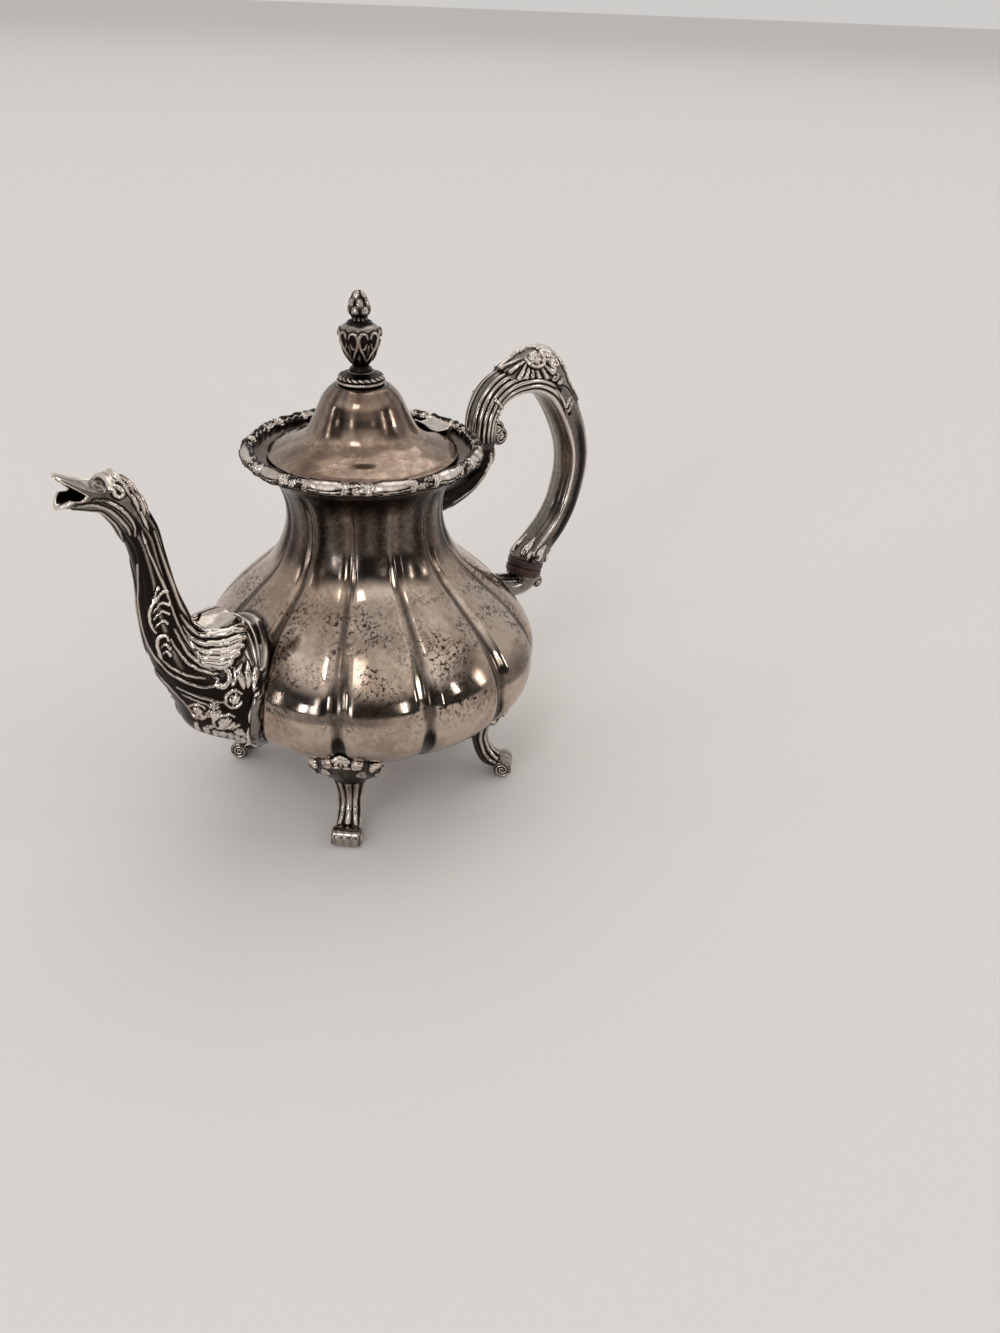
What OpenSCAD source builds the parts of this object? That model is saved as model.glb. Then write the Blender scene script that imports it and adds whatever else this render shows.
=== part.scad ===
// Footed silver teapot: a panelled pear-shaped body on four scroll feet, with a bird-neck spout,
// a hinged bell-shaped lid with an urn finial, and a C-scroll handle carried on two brackets
// through heat-insulating discs. Millimetres, +Z up. The origin is on the table, on the body's
// axis. The spout points to -X and the handle to +X.

/* [Body] */
// Height of the flat base above the table
base_z = 22.6; // [21:0.2:25]
// Radius of the flat base
base_r = 27; // [24:0.5:30]
// Radius of the belly at its widest, on the crest of a panel
belly_r = 81.3; // [78:0.1:85]
// Height of the belly's widest line
belly_z = 69; // [66:0.5:72]
// Radius of the neck at its narrowest
neck_r = 35.8; // [34:0.1:38]
// Height of the neck's narrowest line
neck_z = 140; // [137:0.5:143]
// Radius of the body's top edge, under the mouth flange
mouth_r = 46; // [44:0.5:47]
// Height of the body's top edge
mouth_z = 164; // [161:0.5:166]
// Number of panels round the body
panels = 12; // [8:4:16]
// Depth of the creases between panels, as a share of the radius
crease = 0.036; // [0.01:0.002:0.06]
// Thickness of the body's sheet
wall = 1.2; // [0.8:0.1:1.6]
// Thickness of the base disc
base_t = 1.2; // [0.8:0.1:2]

/* [Strainer] */
// Number of rings of holes round the middle hole, where the spout joins the body
strainer_rings = 2; // [1:1:3]
// Radius of each strainer hole
strainer_hole_r = 1.9; // [1.2:0.1:2.2]
// Distance between rings of strainer holes
strainer_pitch = 7; // [6:0.5:8]

/* [Mouth] */
// How far the lid's edge laps past the mouth's opening
lid_lap = 4.3; // [3.8:0.1:5]
// Distance from the lid's edge to the border's middle line
gutter = 8.7; // [8.6:0.1:9.6]
// Radius of the border's section
rim_t = 3.8; // [3:0.1:4]
// Number of banded knots on the border
rim_knots = 12; // [4:4:16]

/* [Lid] */
// Radius of the lid's edge
lid_r = 42.3; // [41:0.1:43]
// Height of the lid from its edge to its flat top
lid_h = 31.6; // [28:0.2:36]
// Gap between the lid's edge and the mouth flange
lid_gap = 0.3; // [0.2:0.05:0.5]
// Depth of the bezel ring under the lid
bezel_h = 7.4; // [6:0.2:9]
// Gap between the bezel and the opening
bezel_gap = 0.8; // [0.7:0.05:1.2]

/* [Finial] */
// Radius of the finial's gadrooned collar
collar_r = 11; // [9:0.5:12]
// Radius of the urn at its shoulder
urn_r = 10; // [8:0.5:11]
// Height of the urn
urn_h = 21.4; // [18:0.2:24]
// Height of the bud on the urn
bud_h = 12.2; // [10:0.2:14]
// Radius of the bud
bud_r = 5.2; // [4:0.1:6]
// Radius of the screw that holds the finial
screw_r = 2; // [1.5:0.1:2.5]

/* [Hinge] */
// Distance of the hinge pin behind the lid's edge
hinge_back = 1.6; // [1.5:0.1:1.8]
// Height of the hinge pin above the lid's edge
hinge_up = 3.4; // [3.2:0.1:3.8]
// Radius of the hinge pin
pin_r = 1; // [0.8:0.05:1.2]
// Radius of the knuckles
knuckle_r = 1.75; // [1.65:0.05:1.85]
// Length of each knuckle
knuckle_l = 4; // [3:0.5:6]
// Thickness of the lid's hinge leaf
leaf_t = 0.7; // [0.5:0.1:0.8]

/* [Spout] */
// Wall of the spout
spout_wall = 1.1; // [0.9:0.1:1.5]
// Half the width of the spout's root on the belly
root_w = 27.5; // [26:0.5:30]
// Half the height of the spout's root on the belly
root_h = 31; // [30:0.5:34]
// How far the root's collar stands off the belly
collar_h = 4.5; // [3:0.5:6]
// Depth of the flutes on the spout, as a share of its radius
spout_flute = 0.07; // [0:0.01:0.12]

/* [Handle] */
// Radius of the upper insulator
upper_disc_r = 7; // [6.6:0.1:8]
// Thickness of the upper insulator
upper_disc_t = 4; // [3:0.2:5]
// Radius of the lower insulators
lower_disc_r = 9.5; // [9.4:0.1:10.5]
// Thickness of each lower insulator
lower_disc_t = 4.2; // [3:0.2:5]
// Radius of the pins through the insulators
handle_pin_r = 1.5; // [1.2:0.1:2]
// Height of the shell on top of the handle
shell_h = 8; // [5:0.5:9]

/* [Feet] */
// How far the toes' middle stands inside the belly's widest line
toe_in = 13; // [11:0.1:16]
// Radius of the scrolled toes
toe_r = 5; // [4.5:0.1:5.6]
// Width of the toes
toe_w = 13; // [10:0.5:15]
// Half the width of each knee on the belly
knee_w = 16.5; // [13:0.5:18]
// Half the depth of each knee, along the radius
knee_d = 12; // [9:0.5:13]

/* [Hidden] */

$fn = 64;
SILVER = "silver";
FIBRE = "sienna";

// Gap left where a cast piece is soldered to the curved body
seam = 0.3;
// Gap between flat pieces that rotate past each other
run = 0.3;
// Radial clearance of a fixed pin and of a running pin
fixed_fit = 0.02;
running_fit = 0.05;

// ---------- curves and skins ----------

// A point at t on the Catmull-Rom curve between p[i] and p[i + 1], in any number of dimensions
function curve_at(p, i, t) =
    let (a = p[max(i - 1, 0)], b = p[i], c = p[i + 1], d = p[min(i + 2, len(p) - 1)])
    (2 * b + (c - a) * t + (2 * a - 5 * b + 4 * c - d) * t * t
        + (3 * b - a - 3 * c + d) * t * t * t) / 2;

// The curve through the points p, with n steps between neighbours
function curve(p, n) =
    [for (i = [0:len(p) - 2], j = [0:n - 1]) curve_at(p, i, j / n), p[len(p) - 1]];

// Every k-th member of a list, and its last one
function thinned(p, k) = [for (i = [0:len(p) - 1]) if (i % k == 0 || i == len(p) - 1) p[i]];

function reversed(p) = [for (i = [len(p) - 1:-1:0]) p[i]];

function middle(p) = [for (v = p) 1] * p / len(p);

// The outline p moved inwards by t, along its normals
function inset(p, t) =
    [for (i = [0:len(p) - 1])
        let (d = p[min(i + 1, len(p) - 1)] - p[max(i - 1, 0)])
        p[i] + t * [-d[1], d[0]] / norm(d)];

// A closed skin over rings of equal length. In a loop the last ring joins the first,
// and otherwise each end is capped by a fan.
module skin(rings, loop = false) {
    n = len(rings[0]);
    m = len(rings);
    points = concat([for (ring = rings) each ring], [middle(rings[0]), middle(rings[m - 1])]);
    sides = [for (i = [0:loop ? m - 1 : m - 2], j = [0:n - 1])
        let (k = (j + 1) % n, a = i * n, b = ((i + 1) % m) * n)
        each [[a + j, b + k, a + k], [a + j, b + j, b + k]]];
    caps = loop ? [] : [for (j = [0:n - 1])
        let (k = (j + 1) % n, last = (m - 1) * n)
        each [[j, k, m * n], [last + k, last + j, m * n + 1]]];
    polyhedron(loop ? [for (ring = rings) each ring] : points, concat(sides, caps), convexity = 8);
}

// A ring of n points in the plane through [x, z] whose upright leans by tilt from +X.
// Its half-depth is d and its half-width w, and flutes cut it by a share of its size.
function section(s, n, flutes = 0, depth = 0) =
    let (x = s[0], z = s[1], tilt = s[2], d = s[3], w = s[4])
    [for (i = [0:n - 1])
        let (a = 360 * i / n, f = 1 - depth * (1 - cos(flutes * a)) / 2)
        [x + f * d * cos(a) * cos(tilt), f * w * sin(a), z + f * d * cos(a) * sin(tilt)]];

// ---------- the body's surface ----------

// Shape of the outline, as shares of the way from base to belly, belly to neck, neck to mouth
below = [[0, 0], [0.31, 0.2], [0.68, 0.45], [0.93, 0.72]];
above = [[1, 0], [0.94, 0.18], [0.7, 0.39], [0.42, 0.56], [0.19, 0.7], [0.055, 0.85]];
flare = [[0, 0], [0.08, 0.42], [0.41, 0.77], [1, 1]];
body_outline = curve(concat(
    [for (p = below) [base_r + (belly_r - base_r) * p[0], base_z + (belly_z - base_z) * p[1]]],
    [for (p = above) [neck_r + (belly_r - neck_r) * p[0], belly_z + (neck_z - belly_z) * p[1]]],
    [for (p = flare) [neck_r + (mouth_r - neck_r) * p[0], neck_z + (mouth_z - neck_z) * p[1]]]), 2);
radius_by_z = [for (p = body_outline) [p[1], p[0]]];
z_by_radius = [for (p = body_outline) if (p[1] <= belly_z) p];

PANEL_STEPS = 5;
CREASE_POWER = 2.6;

// How deep the crease is at height z: it fades out at the base and at the mouth
function crease_at(z) = crease * min(1, (z - base_z) / 6, max(0, mouth_z - z) / 12);

// Share of the radius that is left at angle a, from 1 on a panel's crest to 1 - crease
function panel(a, z) =
    let (u = a * panels / 360, t = abs(2 * (u - round(u))))
    1 - crease_at(z) * pow(t, CREASE_POWER);

function body_ring(p) =
    let (n = panels * PANEL_STEPS)
    [for (i = [0:n - 1])
        let (a = 360 * (i + 0.5 * (PANEL_STEPS % 2)) / n, r = p[0] * panel(a, p[1]))
        [r * cos(a), r * sin(a), p[1]]];

// How far out the body's side is at height z and distance y from the spout's plane
function side_x(y, z) =
    let (r = lookup(z, radius_by_z), a = asin(y / r),
        q = r * panel(a, z), b = asin(y / q), s = r * panel(b, z))
    sqrt(s * s - y * y);

// How high the body's underside is at radius r and angle a
function under_z(r, a) =
    let (z = lookup(r, z_by_radius))
    lookup(r / panel(a, z), z_by_radius);

// A ring on the body's side, off it by gap, round height z, with half-height h and half-width w
function side_ring(gap, z, h, w, n, sign, flutes = 0, depth = 0) =
    [for (i = [0:n - 1])
        let (a = 360 * i / n, f = 1 - depth * (1 - cos(flutes * a)) / 2,
            y = f * w * sin(a), v = z + f * h * cos(a))
        [sign * (side_x(y, v) + gap), y, v]];

module body_shell() {
    outer = [for (p = body_outline) body_ring(p)];
    inner_outline = concat(
        [[base_r - wall, base_z]],
        [for (p = inset(thinned(body_outline, 2), wall)) if (p[1] > base_z + 1 && p[1] < mouth_z - 1) p],
        [[mouth_r - wall, mouth_z]]);
    inner = [for (p = reversed(inner_outline)) body_ring(p)];
    color(SILVER) difference() {
        skin(concat(outer, inner), loop = true);
        strainer_holes();
    }
}

// Holes through the belly inside the spout's root: one in the middle and rings of six, twelve...
module strainer_holes() {
    for (ring = [0:strainer_rings], i = [0:max(6 * ring, 1) - 1])
        let (a = 60 * i / max(ring, 1), y = strainer_pitch * ring * sin(a))
        translate([-belly_r - 2, y, root_z + strainer_pitch * ring * cos(a)])
            rotate([0, 90, 0]) cylinder(r = strainer_hole_r, h = 24);
}

module base_disc() {
    color(SILVER) translate([0, 0, base_z - base_t]) cylinder(r = base_r, h = base_t);
}

// ---------- mouth ----------

opening_r = lid_r - lid_lap;
rim_r = lid_r + gutter;
rim_z = mouth_z + 6.6;
lid_z = mouth_z + 4.6;
flange_t = 1.2;

// Section of the flange: a shallow dish from the opening out to the border, on a short collar
flange_section = [
    [opening_r, lid_z - 1.2], [lid_r, lid_z - lid_gap], [rim_r - 3.6, lid_z + 0.7], [rim_r + 1, rim_z],
    [rim_r + 1, rim_z - flange_t], [mouth_r + 2.6, mouth_z + 3], [mouth_r, mouth_z],
    [mouth_r - wall, mouth_z], [mouth_r - wall - 0.6, mouth_z + 2.4],
    [lid_r - 1, lid_z - lid_gap - flange_t], [opening_r, lid_z - 1.2 - flange_t]];

module mouth_flange() {
    color(SILVER) rotate_extrude() polygon(flange_section);
}

module border_section(r) {
    difference() {
        translate([rim_r, rim_z]) circle(r);
        polygon(flange_section);
    }
}

// The cast border, soldered over the flange's edge, with raised knots between plain lengths
module rim_border() {
    knot_angle = 7;
    knot_rise = 0.5;
    color(SILVER) union() {
        rotate_extrude() border_section(rim_t);
        for (i = [0:rim_knots - 1])
            rotate((i + 0.5) * 360 / rim_knots - knot_angle / 2)
                rotate_extrude(angle = knot_angle) border_section(rim_t + knot_rise);
    }
}

// ---------- spout ----------

root_z = belly_z + 4.5;
SPOUT_SIDES = 28;
SPOUT_FLUTES = 7;

// Stations from the root's crest to the mouth: distance out from the belly, height above its
// widest line, tilt of the section, half-depth and half-width
spout_stations = [
    [-3.9, 9.7, 76, 28.1, 24.5], [3.4, 17.5, 63, 28, 21.5], [9.5, 23.8, 61, 21.4, 17.5],
    [14.7, 27.8, 57, 16.4, 14.5], [19, 37.5, 38, 12.4, 11.8], [21.5, 49.7, 17, 10.2, 9.9],
    [22.9, 60, 8, 8.6, 8.6], [23.4, 69, 6, 7.5, 7.6], [24.6, 78.7, 9, 7.1, 7.3],
    [26, 87.2, 22, 7.4, 7.5], [28.9, 94.4, 38, 7.8, 7.8], [32.2, 101.4, 55, 8.4, 8.1],
    [35.9, 106.4, 68, 8.8, 8.2], [40.2, 108, 74, 6.6, 7.8], [45.6, 108.1, 80, 4.7, 7.4],
    [51.6, 110, 84, 4.8, 7], [56.95, 112.6, 77, 6.7, 5.2]];

function spout_station(s) = [-belly_r - s[0], belly_z + s[1], s[2], s[3], s[4]];

// A section moved in by the wall
function thinner(s, t) = [s[0], s[1], s[2], s[3] - t, s[4] - t];

// The notch that parts the hood from the lower lip: its apex, then along the hood to the tip
module mouth_notch() {
    at = belly_r;
    up = belly_z;
    rotate([90, 0, 0]) linear_extrude(height = 4 * root_w, center = true) polygon([
        [-at - 47.5, up + 110.2], [-at - 62, up + 109.4], [-at - 62, up + 121],
        [-at - 56.6, up + 118.4], [-at - 52.3, up + 114.6], [-at - 49.2, up + 111.8]]);
}

module spout() {
    stations = [for (s = spout_stations) spout_station(s)];
    outer = concat(
        [side_ring(seam, root_z, root_h, root_w, SPOUT_SIDES, -1),
            side_ring(collar_h, root_z, root_h, root_w, SPOUT_SIDES, -1),
            side_ring(collar_h + 1, root_z, root_h - 3, root_w - 3, SPOUT_SIDES, -1)],
        [for (s = curve(stations, 2)) section(s, SPOUT_SIDES, SPOUT_FLUTES, spout_flute)]);
    inner = concat(
        [side_ring(seam, root_z, root_h - spout_wall, root_w - spout_wall, SPOUT_SIDES, -1),
            side_ring(collar_h - 1, root_z, root_h - 2 - spout_wall, root_w - 2 - spout_wall,
                SPOUT_SIDES, -1)],
        [for (s = stations) section(thinner(s, spout_wall), SPOUT_SIDES, SPOUT_FLUTES, spout_flute)]);
    color(SILVER) difference() {
        skin(concat(outer, reversed(inner)), loop = true);
        mouth_notch();
    }
}

// ---------- feet ----------

KNEE_SIDES = 20;
KNEE_SCALLOPS = 5;

// A ring on the body's underside in the foot's own frame, where +X runs out along the radius
function knee_ring(angle, share, drop) =
    [for (i = [0:KNEE_SIDES - 1])
        let (t = 360 * i / KNEE_SIDES,
            f = share * (1 - 0.1 * (1 - cos(KNEE_SCALLOPS * t)) / 2),
            x = knee_at + f * knee_d * cos(t), y = f * knee_w * sin(t))
        [x, y, under_z(norm([x, y]), angle + atan2(y, x)) - drop]];

toe_at = belly_r - toe_in;
knee_at = toe_at - 6.5;

// A station of the leg: radius, height as a share of the underside's, tilt, half-depth, half-width
leg_stations = [
    [-4, 0.16, 62, 3.8, 5.6], [-8, 0.21, 44, 4.6, 5.6], [-11.2, 0.33, 32, 4.2, 5.6],
    [-12.8, 0.49, 20, 4.2, 5.8], [-12.5, 0.66, 8, 5.4, 7.2]];

// A cast foot at the given angle: a scrolled toe, a leg and a leafed knee that fits the body
module foot(angle) {
    under = under_z(knee_at, angle);
    leg = [for (s = curve(leg_stations, 2))
        section([toe_at + s[0], s[1] * under, s[2], s[3], s[4]], KNEE_SIDES)];
    knee = [knee_ring(angle, 0.82, 5), knee_ring(angle, 1, 2.2), knee_ring(angle, 1, seam),
        knee_ring(angle, 0.66, seam), knee_ring(angle, 0.3, seam)];
    color(SILVER) rotate(angle) intersection() {
        union() {
            skin(concat(leg, knee));
            translate([toe_at, 0, toe_r - 0.2]) rotate([90, 0, 0])
                cylinder(r = toe_r, h = toe_w, center = true);
        }
        translate([0, -2 * knee_w, 0]) cube([2 * belly_r, 4 * knee_w, 2 * belly_z]);
    }
}

FOOT_ANGLE = 45;

module foot_front_left() { foot(180 + FOOT_ANGLE); }
module foot_front_right() { foot(-FOOT_ANGLE); }
module foot_back_right() { foot(FOOT_ANGLE); }
module foot_back_left() { foot(180 - FOOT_ANGLE); }

// ---------- hinge ----------

hinge_x = lid_r + hinge_back;
hinge_z = lid_z + hinge_up;
hinge_w = 3 * knuckle_l + 2 * run;
leaf_in = knuckle_r + run;
leaf_out = leaf_in + leaf_t;

module along_hinge(r, l) {
    translate([hinge_x, 0, hinge_z]) rotate([90, 0, 0]) cylinder(r = r, h = l, center = true);
}

// Two fixed knuckles on short posts, joined by a strip that is soldered to the flange
module hinge_block() {
    post_w = 2.3;
    strip_h = hinge_up - leaf_in - leaf_t / 2 - run;
    color(SILVER) difference() {
        union() {
            for (side = [-1, 1]) translate([0, side * (knuckle_l + run), 0]) {
                along_hinge(knuckle_r, knuckle_l);
                translate([hinge_x - post_w / 2, -knuckle_l / 2, lid_z - 1])
                    cube([post_w, knuckle_l, hinge_up + 1]);
            }
            translate([hinge_x - post_w / 2, -hinge_w / 2, lid_z - 1])
                cube([post_w, hinge_w, strip_h + 1]);
        }
        along_hinge(pin_r + fixed_fit, 4 * knuckle_l);
        rotate_extrude() translate([0, 0.05]) polygon(flange_section);
    }
}

module hinge_pin() {
    color(SILVER) along_hinge(pin_r, hinge_w + 1);
}

// The place over the lid's surface at a share of its radius
function above_lid(share, up) =
    [share * lid_r, lookup(-share * lid_r, [for (p = lid_outline) [-p[0], p[1]]]) + up];

// The lid's leaf: a saddled strip from the lid's shoulder that rolls over the knuckles
module lid_hinge_leaf() {
    arc = [for (a = [150:-15:45]) [hinge_x, hinge_z] + leaf_out * [cos(a), sin(a)]];
    top = concat(curve([above_lid(0.67, 1.8), above_lid(0.755, 0.6), above_lid(0.868, 0.6), arc[0]], 3),
        arc);
    color(SILVER) difference() {
        union() {
            rotate([90, 0, 0]) linear_extrude(height = hinge_w, center = true)
                polygon(concat(top, reversed(inset(top, -leaf_t))));
            along_hinge(leaf_in + leaf_t / 2, knuckle_l);
        }
        along_hinge(pin_r + running_fit, 4 * knuckle_l);
        rotate_extrude() polygon(concat([[0, lid_z]], lid_outline, [[0, lid_z + lid_h]]));
    }
}

// ---------- lid ----------

// Shape of the lid's outline, as shares of its radius and height
lid_shape = [[1, 0.03], [0.946, 0.085], [0.845, 0.149], [0.74, 0.2], [0.65, 0.27], [0.575, 0.361],
    [0.508, 0.519], [0.456, 0.677], [0.409, 0.804], [0.352, 0.899], [0.286, 0.968], [0.2, 1]];
lid_outline = curve([for (p = lid_shape) [lid_r * p[0], lid_z + lid_h * p[1]]], 2);
lid_roll_r = 0.95;
lid_top = lid_z + lid_h;

washer_t = 0.8;
washer_r = 2.3 * screw_r;
nut_h = 3.2;
screw_up = 14;

module lid_dome() {
    bore = screw_r + 0.2;
    inside = inset(lid_outline, wall);
    color(SILVER) union() {
        rotate_extrude() polygon(concat(lid_outline,
            [[bore, lid_top], [bore, lid_top - wall], [washer_r + run, lid_top - wall]],
            reversed([for (p = inside) if (p[1] <= lid_top - wall) p])));
        rotate_extrude() translate([lid_r - lid_roll_r, lid_z + lid_roll_r]) circle(lid_roll_r);
    }
}

// The ring under the lid that keeps it central in the opening
module lid_bezel() {
    r = opening_r - bezel_gap;
    under = lookup(-r, [for (p = inset(lid_outline, wall)) [-p[0], p[1]]]);
    color(SILVER) translate([0, 0, under - run - bezel_h]) difference() {
        cylinder(r = r, h = bezel_h);
        translate([0, 0, -1]) cylinder(r = r - wall, h = bezel_h + 2);
    }
}

// ---------- finial ----------

gadroons = 16;
finial_collar_h = 5.2;

module finial_collar() {
    r = collar_r;
    z = lid_top;
    h = finial_collar_h;
    hole = screw_r + 0.1;
    color(SILVER) union() {
        rotate_extrude() polygon([[hole, z], [r - 0.4, z], [r + 0.2, z + 0.15 * h], [r, z + 0.33 * h],
            [r - 1.6, z + 0.45 * h], [r - 2.2, z + 0.62 * h], [r - 4, z + 0.88 * h],
            [r - 5.8, z + h], [hole, z + h]]);
        for (i = [0:gadroons - 1])
            rotate(i * 360 / gadroons) translate([r - 1.4, 0, z + 0.5 * h]) sphere(1.2);
    }
}

// The urn and the bud on it are one casting, tapped from below for the screw
module finial_urn() {
    z = lid_top + finial_collar_h;
    h = urn_h;
    urn = [[0.46, 0], [0.46, 0.05], [0.34, 0.09], [0.44, 0.14], [0.66, 0.31], [0.88, 0.52],
        [1, 0.73], [0.98, 0.84], [0.82, 0.92], [0.5, 0.97], [0.4, 1]];
    bud = [[0.7, 0], [0.9, 0.1], [1, 0.27], [0.96, 0.5], [0.73, 0.75], [0.42, 0.94]];
    outline = concat([for (p = urn) [urn_r * p[0], z + h * p[1]]],
        [for (p = bud) [bud_r * p[0], z + h + bud_h * p[1]]], [[0, z + h + bud_h]]);
    color(SILVER) difference() {
        rotate_extrude() polygon(concat([[0, z]], outline));
        translate([0, 0, z - 1]) cylinder(r = screw_r + fixed_fit, h = screw_up + 1.5);
    }
}

module under_lid(drop, r, h) {
    translate([0, 0, lid_top - wall - drop - h]) difference() {
        children();
        translate([0, 0, -1]) cylinder(r = r, h = h + 2);
    }
}

module finial_washer() {
    color(SILVER) under_lid(0, screw_r + 0.15, washer_t) cylinder(r = washer_r, h = washer_t);
}

module finial_nut() {
    color(SILVER) under_lid(washer_t, screw_r + fixed_fit, nut_h)
        cylinder(r = 2 * screw_r, h = nut_h, $fn = 6);
}

module finial_screw() {
    bottom = lid_top - wall - washer_t - nut_h - 1.4;
    color(SILVER) translate([0, 0, bottom])
        cylinder(r = screw_r, h = lid_top + finial_collar_h + screw_up - bottom);
}

// ---------- handle ----------

HANDLE_SIDES = 20;
BRACKET_SIDES = 16;

// Middle of the upper insulator's lower face, and of the joint between the lower insulators
upper_joint = [belly_r - 12.7, belly_z + 88];
lower_joint = [belly_r + 20.4, belly_z + 15];
lower_lean = 16;
lower_axis = [sin(lower_lean), cos(lower_lean)];
handle_foot = lower_joint + lower_disc_t * lower_axis;
bracket_head = lower_joint - lower_disc_t * lower_axis;

// Stations of the grip from the upper joint round to the lower one, out from the belly's widest
grip_stations = concat(
    [[upper_joint[0], upper_joint[1] + upper_disc_t, 180, 6.4, 6.8],
        [upper_joint[0] - 0.5, upper_joint[1] + upper_disc_t + 5, 176, 6.4, 7.6]],
    [for (s = [[-12.2, 103.8, 162, 6.4, 8], [-8.7, 110.4, 140, 6.6, 8.3], [-2.8, 114.8, 118, 6.9, 8.5],
        [5.5, 116.9, 96, 7, 8.7], [17.3, 116.3, 78, 7.2, 8.8], [28, 111.3, 55, 7.4, 8.8],
        [35.8, 103.6, 38, 8, 8.8], [42.2, 93.6, 27, 8.4, 8.7], [46.8, 84, 15, 8.6, 8.5],
        [49.45, 74.3, 5, 8.6, 8.4], [49.75, 64.6, -4, 8.4, 8.2], [47.8, 54.8, -13, 8.1, 8.1],
        [44.5, 44.8, -24, 7.9, 8.1], [38.2, 35.1, -38, 7.9, 8.1], [30.4, 27.6, -46, 8, 8.2],
        [24.6, 22.8, -34, 8.4, 8.6]])
        [belly_r + s[0], belly_z + s[1], s[2], s[3], s[4]]],
    [[handle_foot[0], handle_foot[1], -lower_lean, lower_disc_r - 0.2, lower_disc_r - 0.2]]);
grip_curve = curve(grip_stations, 2);

module upper_pin_shape(r) {
    translate([upper_joint[0], 0, upper_joint[1] - 7]) cylinder(r = r, h = upper_disc_t + 13);
}

module lower_pin_shape(r) {
    translate([lower_joint[0], 0, lower_joint[1]]) rotate([0, lower_lean, 0])
        cylinder(r = r, h = 2 * lower_disc_t + 14, center = true);
}

module across(x, z, r, l) {
    translate([x, 0, z]) rotate([90, 0, 0]) cylinder(r = r, h = l, center = true);
}

// The C-scroll grip, with a volute curled into the loop at its upper end
module handle_grip() {
    volute_r = 4.4;
    color(SILVER) difference() {
        union() {
            skin([for (s = reversed(grip_curve)) section(s, HANDLE_SIDES)]);
            across(upper_joint[0] + 9, upper_joint[1] + upper_disc_t + 0.6, volute_r, 9);
            across(upper_joint[0] + 6.6, upper_joint[1] + upper_disc_t + 4.4, volute_r, 10);
        }
        translate([upper_joint[0], 0, upper_joint[1] - 2 * volute_r])
            cylinder(r = upper_disc_r + run, h = upper_disc_t + 2 * volute_r);
        upper_pin_shape(handle_pin_r + fixed_fit);
        lower_pin_shape(handle_pin_r + fixed_fit);
    }
}

// A crescent that rides on the grip's outer side, w degrees to each side and h thick in its middle
function crescent(s, h, w) =
    let (n = 8, edge = 0.5,
        at = function(a, t) let (d = s[3] + t, v = s[4] + t)
            [s[0] + d * cos(a) * cos(s[2]), v * sin(a), s[1] + d * cos(a) * sin(s[2])])
    concat([for (i = [0:n]) let (a = w * (2 * i / n - 1)) at(a, seam + edge + h * cos(90 * a / w))],
        [for (i = [n:-1:0]) at(w * (2 * i / n - 1), seam)]);

// The cast shell and its leaf tail on top of the grip: share of the full height and half-angle
module handle_shell() {
    first = 9;
    shape = [[0.1, 58], [0.27, 62], [0.5, 66], [0.85, 70], [1, 70], [0.7, 66], [0.3, 50],
        [0.14, 36], [0.17, 30], [0.17, 24], [0.05, 14]];
    color(SILVER) skin([for (i = [len(shape) - 1:-1:0])
        crescent(grip_curve[first + i], shell_h * shape[i][0], shape[i][1])]);
}

// A bracket's skin, from a root that fits the body's side through its stations
module bracket_skin(root_at, root_half, root_wide, stations) {
    roots = [for (f = [0.35, 0.7, 1])
        side_ring(seam, root_at, f * root_half, f * root_wide, BRACKET_SIDES, 1)];
    skin(reversed(concat(roots, [for (s = curve(stations, 2)) section(s, BRACKET_SIDES)])));
}

module upper_bracket() {
    joint = upper_joint;
    color(SILVER) difference() {
        bracket_skin(neck_z - 4, 8, 6.5, [
            [neck_r + 9, neck_z - 5, 88, 5.4, 5.6], [joint[0] - 16, joint[1] - 20.6, 98, 4.6, 5],
            [joint[0] - 8, joint[1] - 17.4, 118, 4.2, 5], [joint[0] - 2, joint[1] - 12.2, 140, 4.4, 5.2],
            [joint[0] + 0.6, joint[1] - 6.4, 163, 5.2, 5.8], [joint[0], joint[1], 180, 6.4, 6.4]]);
        upper_pin_shape(handle_pin_r + fixed_fit);
    }
}

// The lower bracket, with a scroll tail under its head
module lower_bracket() {
    head = bracket_head;
    tail_w = 9;
    color(SILVER) difference() {
        union() {
            bracket_skin(belly_z + 7.5, 9, 8, [
                [belly_r + 6.7, belly_z + 6, 92, 6.8, 7.4],
                [belly_r + 12.7, belly_z + 6, 108, 5.8, 7],
                [head[0] - 2.4, head[1] - 4.6, 138, 6.4, 7.4],
                [head[0], head[1], 180 - lower_lean, lower_disc_r - 0.7, lower_disc_r - 0.7]]);
            rotate([90, 0, 0]) linear_extrude(height = tail_w, center = true) polygon([
                [belly_r + 9, belly_z + 4], [belly_r + 11, belly_z + 0.6], [belly_r + 18, belly_z + 0.4],
                [belly_r + 26, belly_z + 2], [belly_r + 25, belly_z + 5.6], [belly_r + 19, belly_z + 6]]);
            across(belly_r + 26.4, belly_z + 5.2, 3.3, tail_w + 1);
        }
        lower_pin_shape(handle_pin_r + fixed_fit);
    }
}

// A disc with rounded edges and a bore for its pin
module insulator(r, t) {
    e = t / 4;
    rotate_extrude() polygon([[handle_pin_r + fixed_fit, 0], [r - e, 0], [r - 0.3 * e, 0.3 * e],
        [r, e], [r, t - e], [r - 0.3 * e, t - 0.3 * e], [r - e, t], [handle_pin_r + fixed_fit, t]]);
}

module on_lower_joint(along) {
    translate([lower_joint[0], 0, lower_joint[1]]) rotate([0, lower_lean, 0])
        translate([0, 0, along]) children();
}

module upper_insulator() {
    color(FIBRE) translate([upper_joint[0], 0, upper_joint[1]]) insulator(upper_disc_r, upper_disc_t);
}

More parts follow.
